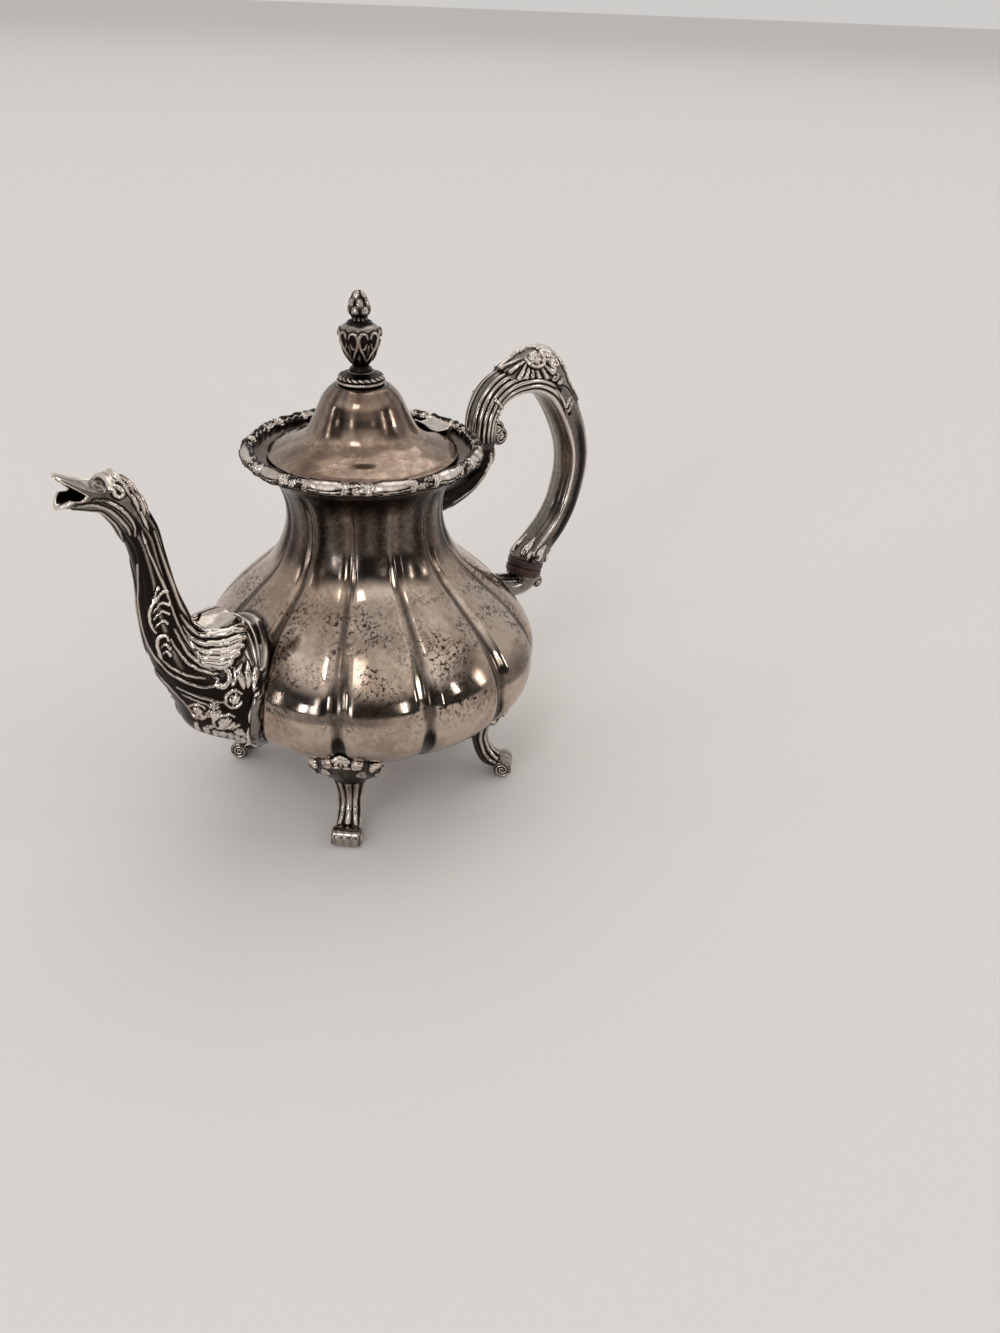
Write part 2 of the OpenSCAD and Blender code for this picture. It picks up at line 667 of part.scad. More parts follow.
module lower_insulator_red() {
    color(FIBRE) on_lower_joint(-lower_disc_t) insulator(lower_disc_r, lower_disc_t);
}

module lower_insulator_grey() {
    color("dimgray") on_lower_joint(0) insulator(lower_disc_r, lower_disc_t);
}

module upper_handle_pin() {
    color(SILVER) upper_pin_shape(handle_pin_r);
}

module lower_handle_pin() {
    color(SILVER) lower_pin_shape(handle_pin_r);
}

body_shell();
base_disc();
mouth_flange();
rim_border();
spout();
foot_front_left();
foot_front_right();
foot_back_right();
foot_back_left();
hinge_block();
hinge_pin();
upper_bracket();
upper_insulator();
upper_handle_pin();
lower_bracket();
lower_insulator_red();
lower_insulator_grey();
lower_handle_pin();
handle_grip();
handle_shell();
lid_dome();
lid_bezel();
lid_hinge_leaf();
finial_collar();
finial_urn();
finial_screw();
finial_washer();
finial_nut();
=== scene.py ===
import math
import random

import bpy
import numpy as np
from mathutils import Matrix, Vector, kdtree


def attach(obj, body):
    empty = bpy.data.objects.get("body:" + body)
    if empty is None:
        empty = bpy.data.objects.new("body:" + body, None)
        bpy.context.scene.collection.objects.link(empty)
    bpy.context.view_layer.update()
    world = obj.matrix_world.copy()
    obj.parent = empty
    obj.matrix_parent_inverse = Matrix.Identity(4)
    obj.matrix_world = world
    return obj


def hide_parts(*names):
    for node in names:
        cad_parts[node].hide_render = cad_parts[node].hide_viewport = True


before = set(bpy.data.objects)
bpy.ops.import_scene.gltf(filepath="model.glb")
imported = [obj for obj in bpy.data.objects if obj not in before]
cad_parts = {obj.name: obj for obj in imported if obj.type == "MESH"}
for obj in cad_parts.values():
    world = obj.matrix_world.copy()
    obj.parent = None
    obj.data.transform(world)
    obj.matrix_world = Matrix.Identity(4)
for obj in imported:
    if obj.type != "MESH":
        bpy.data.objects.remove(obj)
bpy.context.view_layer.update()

MM = 0.001
TAU = 2 * math.pi

# ---------------------------------------------------------------- numbers of the form, in mm
# _R is a radius, _Z a height above the table, _H a height, _W a half-width, _D a depth and _T a thickness.
# ROOT_H and KNEE_D are halves too.

BASE_Z, BASE_R = 22.6, 27.0
BELLY_R, BELLY_Z = 81.3, 69.0
NECK_R, NECK_Z = 35.8, 140.0
MOUTH_R, MOUTH_Z = 46.0, 164.0
PANELS, CREASE, WALL = 12, 0.036, 1.2
BORDER_R, BORDER_Z, BORDER_SECTION_R = 51.0, MOUTH_Z + 6.6, 3.1
LID_R, LID_H, LID_Z = 42.3, 31.6, MOUTH_Z + 4.6
LID_TOP, LID_ROLL_R, SCREW_BORE_R = LID_Z + LID_H, 0.95, 2.2
COLLAR_H, COLLAR_R, COLLAR_BORE_R = 5.2, 10.4, 2.1
URN_H, URN_R, BUD_H, BUD_R = 21.4, 9.3, 12.2, 4.5
ROOT_Z, ROOT_W, ROOT_H, ROOT_COLLAR = BELLY_Z + 4.5, 27.5, 31.0, 4.5
SPOUT_WALL, SPOON_D, MOUTH_BACK = 1.1, 2.0, 9.4
TOE_AT, TOE_Z, TOE_R, TOE_W = 68.3, 4.85, 4.56, 6.5
KNEE_AT, KNEE_W, KNEE_D = TOE_AT - 6.5, 16.5, 12.0
FOOT_ANGLE = 45
UPPER_JOINT = (BELLY_R - 12.7, BELLY_Z + 88)
LOWER_JOINT = (BELLY_R + 20.4, BELLY_Z + 15)
LEAN = math.radians(16)
DISC_T, UPPER_DISC_T, DISC_R = 4.2, 4.0, 9.5
SHELL_H = 8.0
# the shell's first row among the handle's rows, and the rows from one of its stations to the next
SHELL_AT, SHELL_STEP = 90, 10
HINGE_AT, LEAF_OUT, LEAF_T, LEAF_W = (43.9, 172.0), 2.75, 0.7, 6.3
SEAM = 0.3
# the hood's rims end at this angle from the top of the spout's section
RIM_ANGLE = math.radians(72)
# the sheet stays this share inside the solid at the widest line, over this height
BELLY_INSET, BELLY_INSET_H = 0.003, 25
# painted shade inside the hollow parts and on faces that are hidden: 0 is clean silver and 1 is black
INSIDE_SHADE, HIDDEN_SHADE = 0.5, 0.8

# ---------------------------------------------------------------- curves and fields


def curve(points, n):
    """Catmull-Rom curve through the rows of points, n steps between neighbours."""
    p = np.asarray(points, float)
    out = []
    for i in range(len(p) - 1):
        a, b, c, d = p[max(i - 1, 0)], p[i], p[i + 1], p[min(i + 2, len(p) - 1)]
        t = (np.arange(n) / n)[:, None]
        out.append((2 * b + (c - a) * t + (2 * a - 5 * b + 4 * c - d) * t * t
                    + (3 * b - a - 3 * c + d) * t ** 3) / 2)
    out.append(p[-1:])
    return np.concatenate(out)


def even(points, count):
    """The polyline's rows resampled to count rows, equally spaced along its first columns' length."""
    p = np.asarray(points, float)
    d = np.r_[0, np.cumsum(np.linalg.norm(np.diff(p[:, :2], axis=0), axis=1))]
    s = np.linspace(0, d[-1], count)
    return np.stack([np.interp(s, d, p[:, k]) for k in range(p.shape[1])], 1)


def resampled(rows, count):
    """The rows resampled to count rows, equally spaced by their index."""
    i = np.linspace(0, len(rows) - 1, count)
    return np.stack([np.interp(i, np.arange(len(rows)), rows[:, k]) for k in range(rows.shape[1])], 1)


def offset(rows, t):
    """The polyline moved sideways by t, to the left of its own direction."""
    d = np.gradient(rows, axis=0)
    d /= np.linalg.norm(d, axis=1, keepdims=True)
    return rows + t * np.stack([-d[:, 1], d[:, 0]], 1)


def between(p, q, steps):
    """Steps from p towards q, without the two ends."""
    return [p * (1 - t) + q * t for t in np.linspace(0, 1, steps + 2)[1:-1]]


def smooth(x, a, b):
    """0 up to a, 1 from b and a smooth step between."""
    t = np.clip((x - a) / (b - a), 0, 1)
    return t * t * (3 - 2 * t)


def fade(x, a, b):
    """1 up to a, 0 from b and a smooth step between."""
    return 1 - smooth(x, a, b)


def peak(x, at, wide):
    """A bell-shaped bump, 1 at its middle."""
    return np.exp(-((x - at) / wide) ** 2)


def dome(x, at, wide):
    """A round bump, 1 at its middle and 0 from wide away."""
    return np.clip(1 - ((x - at) / wide) ** 2, 0, 1)


def unit(v):
    return v / np.linalg.norm(v)


def polar(r, a):
    return r * math.cos(a), r * math.sin(a)


def ring_angles(n, first=0):
    return (np.arange(n) + first) * TAU / n


def grid_of(x, y, z):
    """A grid of points from coordinates that broadcast to one shape."""
    return np.stack(np.broadcast_arrays(x, y, z), -1)


def section(rows, a):
    """Grid of rings at the angles a, from rows x, z, tilt in degrees, half-depth, half-width."""
    x, z, tilt, d, w = np.asarray(rows, float).T[..., None]
    t = np.radians(tilt)
    return grid_of(x + d * np.cos(a) * np.cos(t), w * np.sin(a), z + d * np.cos(a) * np.sin(t))


def on_section(row, angle, w, h):
    """A stroke's point on the ring of one row of a section."""
    x, z, tilt, half_depth, half_width = row
    out, t = half_depth * math.cos(angle), math.radians(tilt)
    return x + out * math.cos(t), half_width * math.sin(angle), z + out * math.sin(t), w, h


def revolve(profile, count):
    """Grid of rings from a closed profile of rows r, z, with the rings' angles."""
    a = ring_angles(count)
    r, z = np.asarray(profile, float).T[..., None]
    return grid_of(r * np.cos(a), r * np.sin(a), z), a


def drum(x, z, rows, n):
    """Grid of rings across the pot at x, z, from rows y, radius."""
    t = ring_angles(n)
    y, r = np.asarray(rows, float).T[..., None]
    return grid_of(x + r * np.cos(t), y, z + r * np.sin(t))


def normals(grid):
    """Normals of a grid of rings, by central differences."""
    n = np.cross(np.roll(grid, -1, 1) - np.roll(grid, 1, 1), np.gradient(grid, axis=0))
    return n / np.maximum(np.linalg.norm(n, axis=2, keepdims=True), 1e-9)


def pushed(grid, height):
    """The grid moved along its normals by height, away from the middles of its rings."""
    n = normals(grid)
    sign = np.sign(np.sum(n * (grid - grid.mean(1, keepdims=True))))
    return grid + sign * n * height[..., None]


# ---------------------------------------------------------------- relief


class Relief:
    """Heights over a surface's points, raised by strokes that follow the surface."""

    def __init__(self, grid):
        self.points = np.asarray(grid, float).reshape(-1, 3)
        self.shape = grid.shape[:2]
        self.heights = np.zeros(len(self.points))
        self.near = np.zeros(len(self.points))
        self.tree = kdtree.KDTree(len(self.points))
        for i, p in enumerate(self.points):
            self.tree.insert(p, i)
        self.tree.balance()

    def stroke(self, rows, steps=6, power=1.0, mirror=False):
        """rows are x, y, z, half-width, height. The cross-section is round, and sharper as power grows."""
        if mirror:
            self.stroke([(r[0], -r[1], *r[2:]) for r in rows], steps, power)
        path = curve(rows, steps)
        for r in path:
            r[:3] = self.tree.find(r[:3])[0]
        low, high, reach = path[:, :3].min(0), path[:, :3].max(0), 2 * path[:, 3].max()
        idx = np.nonzero(np.all((self.points > low - reach) & (self.points < high + reach), 1))[0]
        if not len(idx):
            return
        p = self.points[idx]
        best = np.full(len(p), 1e9)
        top = np.zeros(len(p))
        for a, b in zip(path[:-1], path[1:]):
            d = b[:3] - a[:3]
            t = np.clip(((p - a[:3]) @ d) / (d @ d + 1e-9), 0, 1)
            q = np.linalg.norm(p - a[:3] - t[:, None] * d, axis=1) / (a[3] + t * (b[3] - a[3]))
            k = q < best
            best[k] = q[k]
            top[k] = (a[4] + t * (b[4] - a[4]))[k]
        self.near[idx] = np.maximum(self.near[idx], np.clip(2 - best, 0, 1))
        round_top = top * np.clip(1 - best * best, 0, 1) ** (0.5 * power)
        self.heights[idx] = np.maximum(self.heights[idx], round_top)

    def motif(self, strokes, origin, along, across, mirror=False):
        """Strokes drawn flat, in rows u, v, half-width, height, laid on the surface at origin."""
        o, e1, e2 = (np.asarray(v, float) for v in (origin, along, across))
        e1 = unit(e1)
        e2 = unit(e2 - e1 * (e2 @ e1))
        for rows in strokes:
            self.stroke([(*(o + r[0] * e1 + r[1] * e2), *r[2:]) for r in rows], 4, mirror=mirror)

    def height(self):
        return self.heights.reshape(self.shape)

    def tone(self, plain, gain=1.0, deep=0.95):
        """Patina: plain away from the strokes, deep in the recesses beside them and bright on their tops."""
        near = smooth(self.near, 0.0, 0.8).reshape(self.shape)
        return np.clip(plain + (deep - plain) * near - gain * np.maximum(self.height(), 0), 0, 1)


def line(points, w, h, ends=0.6):
    """A stroke of one width and height that tapers towards both ends."""
    swell = [ends + (1 - ends) * math.sin(math.pi * i / (len(points) - 1)) for i in range(len(points))]
    return [(*p, w * s, h * s) for p, s in zip(points, swell)]


def comma(points, w, h):
    """A stroke that starts thin and ends in a round, high tip."""
    k = len(points) - 1
    return [(*p, w * (0.35 + 0.65 * (i / k)), h * (0.4 + 0.6 * (i / k))) for i, p in enumerate(points)]


def volute(r, start, turns, w, h, sign=1):
    """A flat stroke that curls in from radius r, starting at angle start in degrees."""
    n = max(8, int(12 * turns))
    return [(*polar(r * (1 - 0.85 * t), math.radians(start) + sign * TAU * turns * t),
             w * (1 - 0.4 * t), h * (0.8 + 0.4 * t)) for t in np.arange(n + 1) / n]


def leaf(length, width, high=1.0, lobes=3):
    """A lobed leaf along +u: a body, lobes that sweep forward to each side, and a rib down its middle."""
    out = [[(0, 0, 0.30 * width, 0.3 * high), (0.5 * length, 0, 0.55 * width, 0.45 * high),
            (length, 0, 0.12 * width, 0.35 * high)]]
    w = 0.34 * length / lobes
    for t in (np.arange(lobes) + 0.4) / lobes:
        reach = width * (0.55 + 0.6 * math.sin(math.pi * min(1, t + 0.15))) * (1 - 0.35 * t)
        u = t * length * 0.92
        for side in (-1, 1):
            out.append([(u, 0.1 * side * width, 0.6 * w, 0.5 * high),
                        (u + 0.25 * w, 0.5 * side * reach, w, 0.85 * high),
                        (u + 1.2 * w, 0.9 * side * reach, 0.85 * w, high),
                        (u + 2.075 * w, side * reach, 0.35 * w, 0.8 * high)])
    out.append([(0, 0, 0.10 * width, 0.9 * high), (0.55 * length, 0, 0.12 * width, 1.1 * high),
                (length, 0, 0.07 * width, 0.8 * high)])
    return out


def rosette(r, petals, high=1.0):
    """Petals that turn a little, round a boss."""
    out = [[(*polar(0.3 * r, a), 0.18 * r, 0.6 * high), (*polar(0.65 * r, a), 0.27 * r, high),
            (*polar(0.95 * r, a + 0.35), 0.14 * r, 0.7 * high)] for a in ring_angles(petals)]
    return out + [[(-0.02 * r, 0, 0.26 * r, 1.25 * high), (0.02 * r, 0, 0.26 * r, 1.25 * high)]]


def fan(ribs, near, far, spread, high=1.0, scallop=0.0):
    """Ribs that spread from a point, as on a scallop shell."""
    out = []
    for t in np.arange(ribs) / (ribs - 1) - 0.5:
        reach = far * (1 - scallop * (2 * t) ** 2)
        w = 0.46 * spread * reach / ribs
        a = t * spread
        out.append([(*polar(near, a), 0.4 * w, 0.5 * high), (*polar(0.6 * reach, a), 0.7 * w, 0.9 * high),
                    (*polar(reach, a), w, high)])
    return out


# ---------------------------------------------------------------- meshes


def grid_faces(m, n, loop):
    """Quads over m rings of n points. A loop joins its last ring to its first, else fans cap the ends."""
    i = np.arange(m if loop else m - 1)[:, None]
    j = np.arange(n)
    k = (j + 1) % n
    here, after = i * n, ((i + 1) % m) * n
    faces = np.stack([here + j, after + j, after + k, here + k], 2).reshape(-1, 4).tolist()
    if not loop:
        last = (m - 1) * n
        faces += np.stack([k, np.full(n, m * n), j], 1).tolist()
        faces += np.stack([last + j, np.full(n, m * n + 1), last + k], 1).tolist()
    return faces


def skin_of(grid, tone, loop=False):
    """Points, faces and tones of one closed skin over a grid of rings, faced outwards by its volume."""
    m, n = grid.shape[:2]
    verts = grid.reshape(-1, 3)
    tone = np.broadcast_to(tone, (m, n)).reshape(-1)
    if not loop:
        verts = np.vstack([verts, grid[0].mean(0), grid[-1].mean(0)])
        tone = np.r_[tone, tone[:n].mean(), tone[-n:].mean()]
    faces = grid_faces(m, n, loop)
    volume = 0.0
    for corners in (3, 4):
        f = np.array([q for q in faces if len(q) == corners])
        for i in range(1, corners - 1 if f.size else 0):
            a, b, c = verts[f[:, 0]], verts[f[:, i]], verts[f[:, i + 1]]
            volume += np.einsum("ij,ij->", a, np.cross(b, c))
    if volume < 0:
        faces = [f[::-1] for f in faces]
    return verts, faces, tone


def piece(name, skins, body, nodes, material):
    """Closed skins in mm as one object that rides on body and replaces nodes."""
    verts, faces, tones, start = [], [], [], 0
    for v, f, t in skins:
        verts.append(v)
        faces += [[i + start for i in q] for q in f]
        tones.append(t)
        start += len(v)
    me = bpy.data.meshes.new(name)
    me.from_pydata((np.vstack(verts) * MM).tolist(), [], faces)
    me.update()
    patina_and_shade = me.attributes.new("patina_and_shade", "FLOAT", "POINT")
    patina_and_shade.data.foreach_set("value", np.concatenate(tones).astype(np.float32))
    me.polygons.foreach_set("use_smooth", [True] * len(me.polygons))
    me.materials.append(material)
    o = bpy.data.objects.new(name, me)
    bpy.context.scene.collection.objects.link(o)
    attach(o, body)
    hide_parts(*nodes)


# ---------------------------------------------------------------- materials


class Graph:
    """Short calls for the nodes of a material or of the world."""

    def __init__(self, tree, coordinates="Object"):
        self.tree = tree
        self.place = self.add("ShaderNodeTexCoord").outputs[coordinates]
        axes = self.add("ShaderNodeSeparateXYZ")
        self.feed(axes.inputs[0], self.place)
        self.x, self.y, self.z = axes.outputs

    def add(self, kind, **values):
        """A new node with inputs set by name, where _ stands for a space."""
        n = self.tree.nodes.new(kind)
        for k, v in values.items():
            n.inputs[k.replace("_", " ")].default_value = v
        return n

    def feed(self, socket, v):
        """Another node's output, a number or a colour, into a socket."""
        if isinstance(v, bpy.types.NodeSocket):
            self.tree.links.new(v, socket)
        else:
            socket.default_value = (*v, 1) if isinstance(v, tuple) else v

    def noise(self, scale, detail=4, rough=0.6, distort=0.0):
        n = self.add("ShaderNodeTexNoise", Scale=scale, Detail=detail, Roughness=rough, Distortion=distort)
        self.feed(n.inputs["Vector"], self.place)
        return n.outputs["Fac"]

    def ramp(self, v, a, b, lo=0.0, hi=1.0):
        """lo up to a, hi from b and a smooth step between."""
        n = self.add("ShaderNodeMapRange", From_Min=a, From_Max=b, To_Min=lo, To_Max=hi)
        n.interpolation_type = "SMOOTHSTEP"
        self.feed(n.inputs["Value"], v)
        return n.outputs["Result"]

    def math(self, op, a, b):
        n = self.add("ShaderNodeMath")
        n.operation = op
        self.feed(n.inputs[0], a)
        self.feed(n.inputs[1], b)
        return n.outputs[0]

    def plus(self, a, b):
        return self.math("ADD", a, b)

    def minus(self, a, b):
        return self.math("SUBTRACT", a, b)

    def times(self, a, b):
        return self.math("MULTIPLY", a, b)

    def most(self, a, b):
        return self.math("MAXIMUM", a, b)

    def mix(self, share, a, b):
        n = self.add("ShaderNodeMix")
        n.data_type = "RGBA"
        for i, v in ((0, share), (6, a), (7, b)):
            self.feed(n.inputs[i], v)
        return n.outputs[2]

    def bump(self, height, strength):
        n = self.add("ShaderNodeBump", Strength=strength, Distance=0.0001)
        self.feed(n.inputs["Height"], height)
        return n.outputs["Normal"]


def material(name):
    m = bpy.data.materials.new(name)
    m.use_nodes = True
    return m, m.node_tree.nodes["Principled BSDF"].inputs


# black of heavy patina and of painted shade, mixed in where the patina_and_shade attribute is high
DARK = (0.018, 0.013, 0.011)


def silver(name, clean, film, film_span, rough, speckle=0.0, patina_and_shade_gain=1.0, worn=None):
    """Silver under a brown film, black where the patina_and_shade attribute is high: real patina and painted
    shade alike.

    worn gives pale places in the film: their lowest and highest z in m, and their colour.
    """
    m, surface = material(name)
    g = Graph(m.node_tree)
    mottled = g.plus(g.times(g.noise(34, 5, 0.62, 0.5), 0.66), g.times(g.noise(330, 5, 0.65), 0.34))
    colour = g.mix(g.ramp(mottled, *film_span), clean, film)
    if worn:
        low, high, pale = worn
        above = g.ramp(g.z, low - 0.004, low + 0.004)
        below = g.ramp(g.z, high - 0.006, high + 0.006, 1.0, 0.0)
        patches = g.ramp(g.noise(120, 5, 0.7, 0.6), 0.52, 0.66)
        colour = g.mix(g.times(g.times(patches, g.times(above, below)), 0.8), colour, pale)
    attribute = g.add("ShaderNodeAttribute")
    attribute.attribute_name = "patina_and_shade"
    patina_and_shade = attribute.outputs["Fac"]
    jitter = g.times(g.minus(g.noise(600, 3, 0.6), 0.5), 0.36)
    black = g.ramp(g.plus(g.times(patina_and_shade, patina_and_shade_gain), g.times(jitter, patina_and_shade)), 0.15, 0.95)
    if speckle:
        # tarnish spots, thick over the upper belly and thin elsewhere
        spots = g.ramp(g.noise(560, 4, 0.72, 0.35), 0.50, 0.59)
        small = g.ramp(g.noise(1500, 3, 0.7), 0.56, 0.64)
        belly = g.times(g.ramp(g.z, 0.066, 0.078), g.ramp(g.z, 0.108, 0.122, 1.0, 0.0))
        clouds = g.ramp(g.noise(48, 3, 0.6, 0.4), 0.36, 0.56)
        where = g.times(clouds, g.plus(g.times(belly, 0.85), 0.12))
        both = g.most(spots, g.times(small, 0.7))
        black = g.most(black, g.times(g.times(both, where), speckle))
    g.feed(surface["Base Color"], g.mix(black, colour, DARK))
    roughness = g.plus(g.ramp(mottled, *film_span, rough, rough + 0.12), g.ramp(black, 0.6, 1.0, 0.0, 0.16))
    smears = g.times(g.minus(g.noise(95, 4, 0.7), 0.5), 0.08)
    g.feed(surface["Roughness"], g.plus(roughness, smears))
    surface["Metallic"].default_value = 1.0
    wear = g.plus(g.times(g.noise(900, 4, 0.65), 0.5), g.times(g.noise(70, 2), 2.0))
    g.feed(surface["Normal"], g.bump(wear, 0.25))
    return m


def fibre(name, base, other):
    """Vulcan fibre: two browns, with fine dark flecks."""
    m, surface = material(name)
    g = Graph(m.node_tree)
    colour = g.mix(g.ramp(g.noise(260, 5, 0.7, 0.8), 0.38, 0.66), base, other)
    flecks = g.ramp(g.noise(1300, 3, 0.7), 0.56, 0.68)
    g.feed(surface["Base Color"], g.mix(flecks, colour, tuple(c * 0.45 for c in base)))
    g.feed(surface["Roughness"], g.ramp(g.noise(500, 4), 0.3, 0.7, 0.38, 0.62))
    g.feed(surface["Normal"], g.bump(g.noise(1100, 4, 0.7), 0.4))
    return m


# each silver: clean colour, film colour, the span of noise over which the film sets in, and roughness
SHEET = silver("sheet_silver", (0.57, 0.465, 0.385), (0.38, 0.285, 0.22), (0.40, 0.60), 0.075, speckle=1.0)
LID_SHEET = silver("lid_silver", (0.48, 0.375, 0.305), (0.28, 0.195, 0.145), (0.38, 0.58), 0.05, speckle=0.35,
                   worn=(0.168, 0.184, (0.56, 0.415, 0.32)))
# dark all over: painted shade in the gap between the lid and the border
FLANGE_IN_SHADE = silver("flange_in_painted_shade", (0.22, 0.165, 0.135), (0.13, 0.09, 0.07), (0.38, 0.58), 0.12)
CAST = silver("cast_silver", (0.80, 0.72, 0.65), (0.46, 0.37, 0.31), (0.46, 0.68), 0.14, patina_and_shade_gain=1.15)
FINIAL = silver("finial_silver", (0.70, 0.62, 0.56), (0.34, 0.27, 0.225), (0.42, 0.62), 0.17, patina_and_shade_gain=1.3)
PLAIN = silver("plain_metal", (0.5, 0.44, 0.38), (0.33, 0.27, 0.22), (0.45, 0.65), 0.25)
FIBRE_GREY = fibre("fibre_grey_brown", (0.030, 0.019, 0.015), (0.052, 0.032, 0.025))
FIBRE_RED = fibre("fibre_red_brown", (0.042, 0.015, 0.010), (0.078, 0.028, 0.018))

# ---------------------------------------------------------------- body

BELOW = [(0, 0), (0.31, 0.2), (0.68, 0.45), (0.93, 0.72)]
ABOVE = [(1, 0), (0.94, 0.18), (0.7, 0.39), (0.42, 0.56), (0.19, 0.7), (0.055, 0.85)]
FLARE = [(0, 0), (0.08, 0.42), (0.41, 0.77), (1, 1)]
OUTLINE = curve(
    [(BASE_R + (BELLY_R - BASE_R) * p, BASE_Z + (BELLY_Z - BASE_Z) * q) for p, q in BELOW]
    + [(NECK_R + (BELLY_R - NECK_R) * p, BELLY_Z + (NECK_Z - BELLY_Z) * q) for p, q in ABOVE]
    + [(NECK_R + (MOUTH_R - NECK_R) * p, NECK_Z + (MOUTH_Z - NECK_Z) * q) for p, q in FLARE], 10)


def radius_at(z):
    return np.interp(z, OUTLINE[:, 1], OUTLINE[:, 0])


def panel_place(a):
    """0 on a panel's crest and 1 in the crease between two panels."""
    u = a * PANELS / TAU
    return np.abs(2 * (u - np.round(u)))


def crease_at(z):
    """The creases' depth as a share of the radius. It runs out towards the base and the mouth."""
    return CREASE * np.minimum(1, np.minimum((z - BASE_Z) / 6, np.maximum(0, MOUTH_Z - z) / 12))


def panel(a, z):
    return 1 - crease_at(z) * panel_place(a) ** 2.6


def body_point_x(y, z):
    """How far out the solid's panelled surface is at y, z."""
    r = radius_at(z)
    a = np.arcsin(np.clip(y / r, -1, 1))
    b = np.arcsin(np.clip(y / (r * panel(a, z)), -1, 1))
    s = r * panel(b, z)
    return np.sqrt(np.maximum(s * s - y * y, 0))


def under_z(r, a):
    """The height of the body's underside at radius r and angle a."""
    low = OUTLINE[OUTLINE[:, 1] <= BELLY_Z]
    z = np.interp(r, low[:, 0], low[:, 1])
    return np.interp(r / panel(a, z), low[:, 0], low[:, 1])


def body():
    a = ring_angles(PANELS * 26, 0.5)
    rows = even(OUTLINE, 190)
    inner = even(offset(rows, WALL), 70)[::-1]
    inner[:, 1] = np.clip(inner[:, 1], BASE_Z, MOUTH_Z)
    t = panel_place(a)

    def rings(p, groove):
        z = p[:, 1:2]
        crease = 0.42 * t ** 2.4 + 0.58 * smooth(t, 0.70, 0.93) + 0.14 * groove * peak(t, 1, 0.03)
        r = p[:, :1] * (1 - crease_at(z) * crease) * (1 - BELLY_INSET * peak(z, BELLY_Z, BELLY_INSET_H))
        return grid_of(r * np.cos(a), r * np.sin(a), z)

    outer = rings(rows, 1.0)
    grid = np.concatenate([outer, rings(inner, 0.0)])
    # a patina line and painted shade in the creases, a dark joint round the spout's root, painted dark
    # reflection streaks on the neck and painted shade under the mouth
    z = rows[:, 1:2]
    full = crease_at(z) / CREASE
    tone = (0.34 * peak(t, 1, 0.035) + 0.60 * smooth(t, 0.81, 0.91)) * full
    # painted reflection: darker towards the creases below the widest line
    tone = tone + 0.24 * smooth(t, 0.30, 0.80) * fade(z, BELLY_Z - 12, BELLY_Z) * full
    x, y = outer[..., 0], outer[..., 1]
    root = np.hypot(y / ROOT_W, (outer[..., 2] - ROOT_Z) / ROOT_H)
    tone = np.maximum(tone, np.where(x < 0, 0.8 * peak(root, 1, 0.035), 0))
    reflection_streak = 0.5 + 0.5 * np.sin(7.3 * a + 1.1) * np.sin(17.9 * a + 0.4)
    tone = np.maximum(tone, smooth(z, 113, 131) * (0.62 + 0.26 * reflection_streak) + 0.2 * smooth(z, 150, 162))
    # painted dark reflection in a band above the widest line, painted shade that deepens the creases below it
    # and darkens towards the base, and a painted dark reflection beside the spout
    band = (0.46 + 0.20 * np.sin(5 * a + 0.9)) * smooth(z, BELLY_Z + 3, BELLY_Z + 6) * fade(z, 79, 93)
    tone = tone * (1 + 0.5 * fade(z, BELLY_Z - 8, BELLY_Z))
    painted_spout_reflection = 0.42 * smooth(-x, 38, 72) * smooth(z, 74, 90) * np.exp(-(np.abs(y) / 46) ** 4)
    tone = np.minimum(tone + band, np.maximum(tone, 0.72)) + 0.5 * fade(z, 30, 50) + painted_spout_reflection * (tone < 0.6)
    # painted shade on the inside of the wall
    tone = np.concatenate([np.clip(tone, 0, 1), np.full((len(inner), len(a)), INSIDE_SHADE)])
    piece("body_sheet", [skin_of(grid, tone, True)], "pot", ["body_shell"], SHEET)


# ---------------------------------------------------------------- lid and finial

LID_SHAPE = [(1, 0.03), (0.946, 0.085), (0.845, 0.149), (0.74, 0.2), (0.65, 0.27), (0.575, 0.361),
             (0.508, 0.519), (0.456, 0.677), (0.409, 0.804), (0.352, 0.899), (0.286, 0.968), (0.2, 1)]


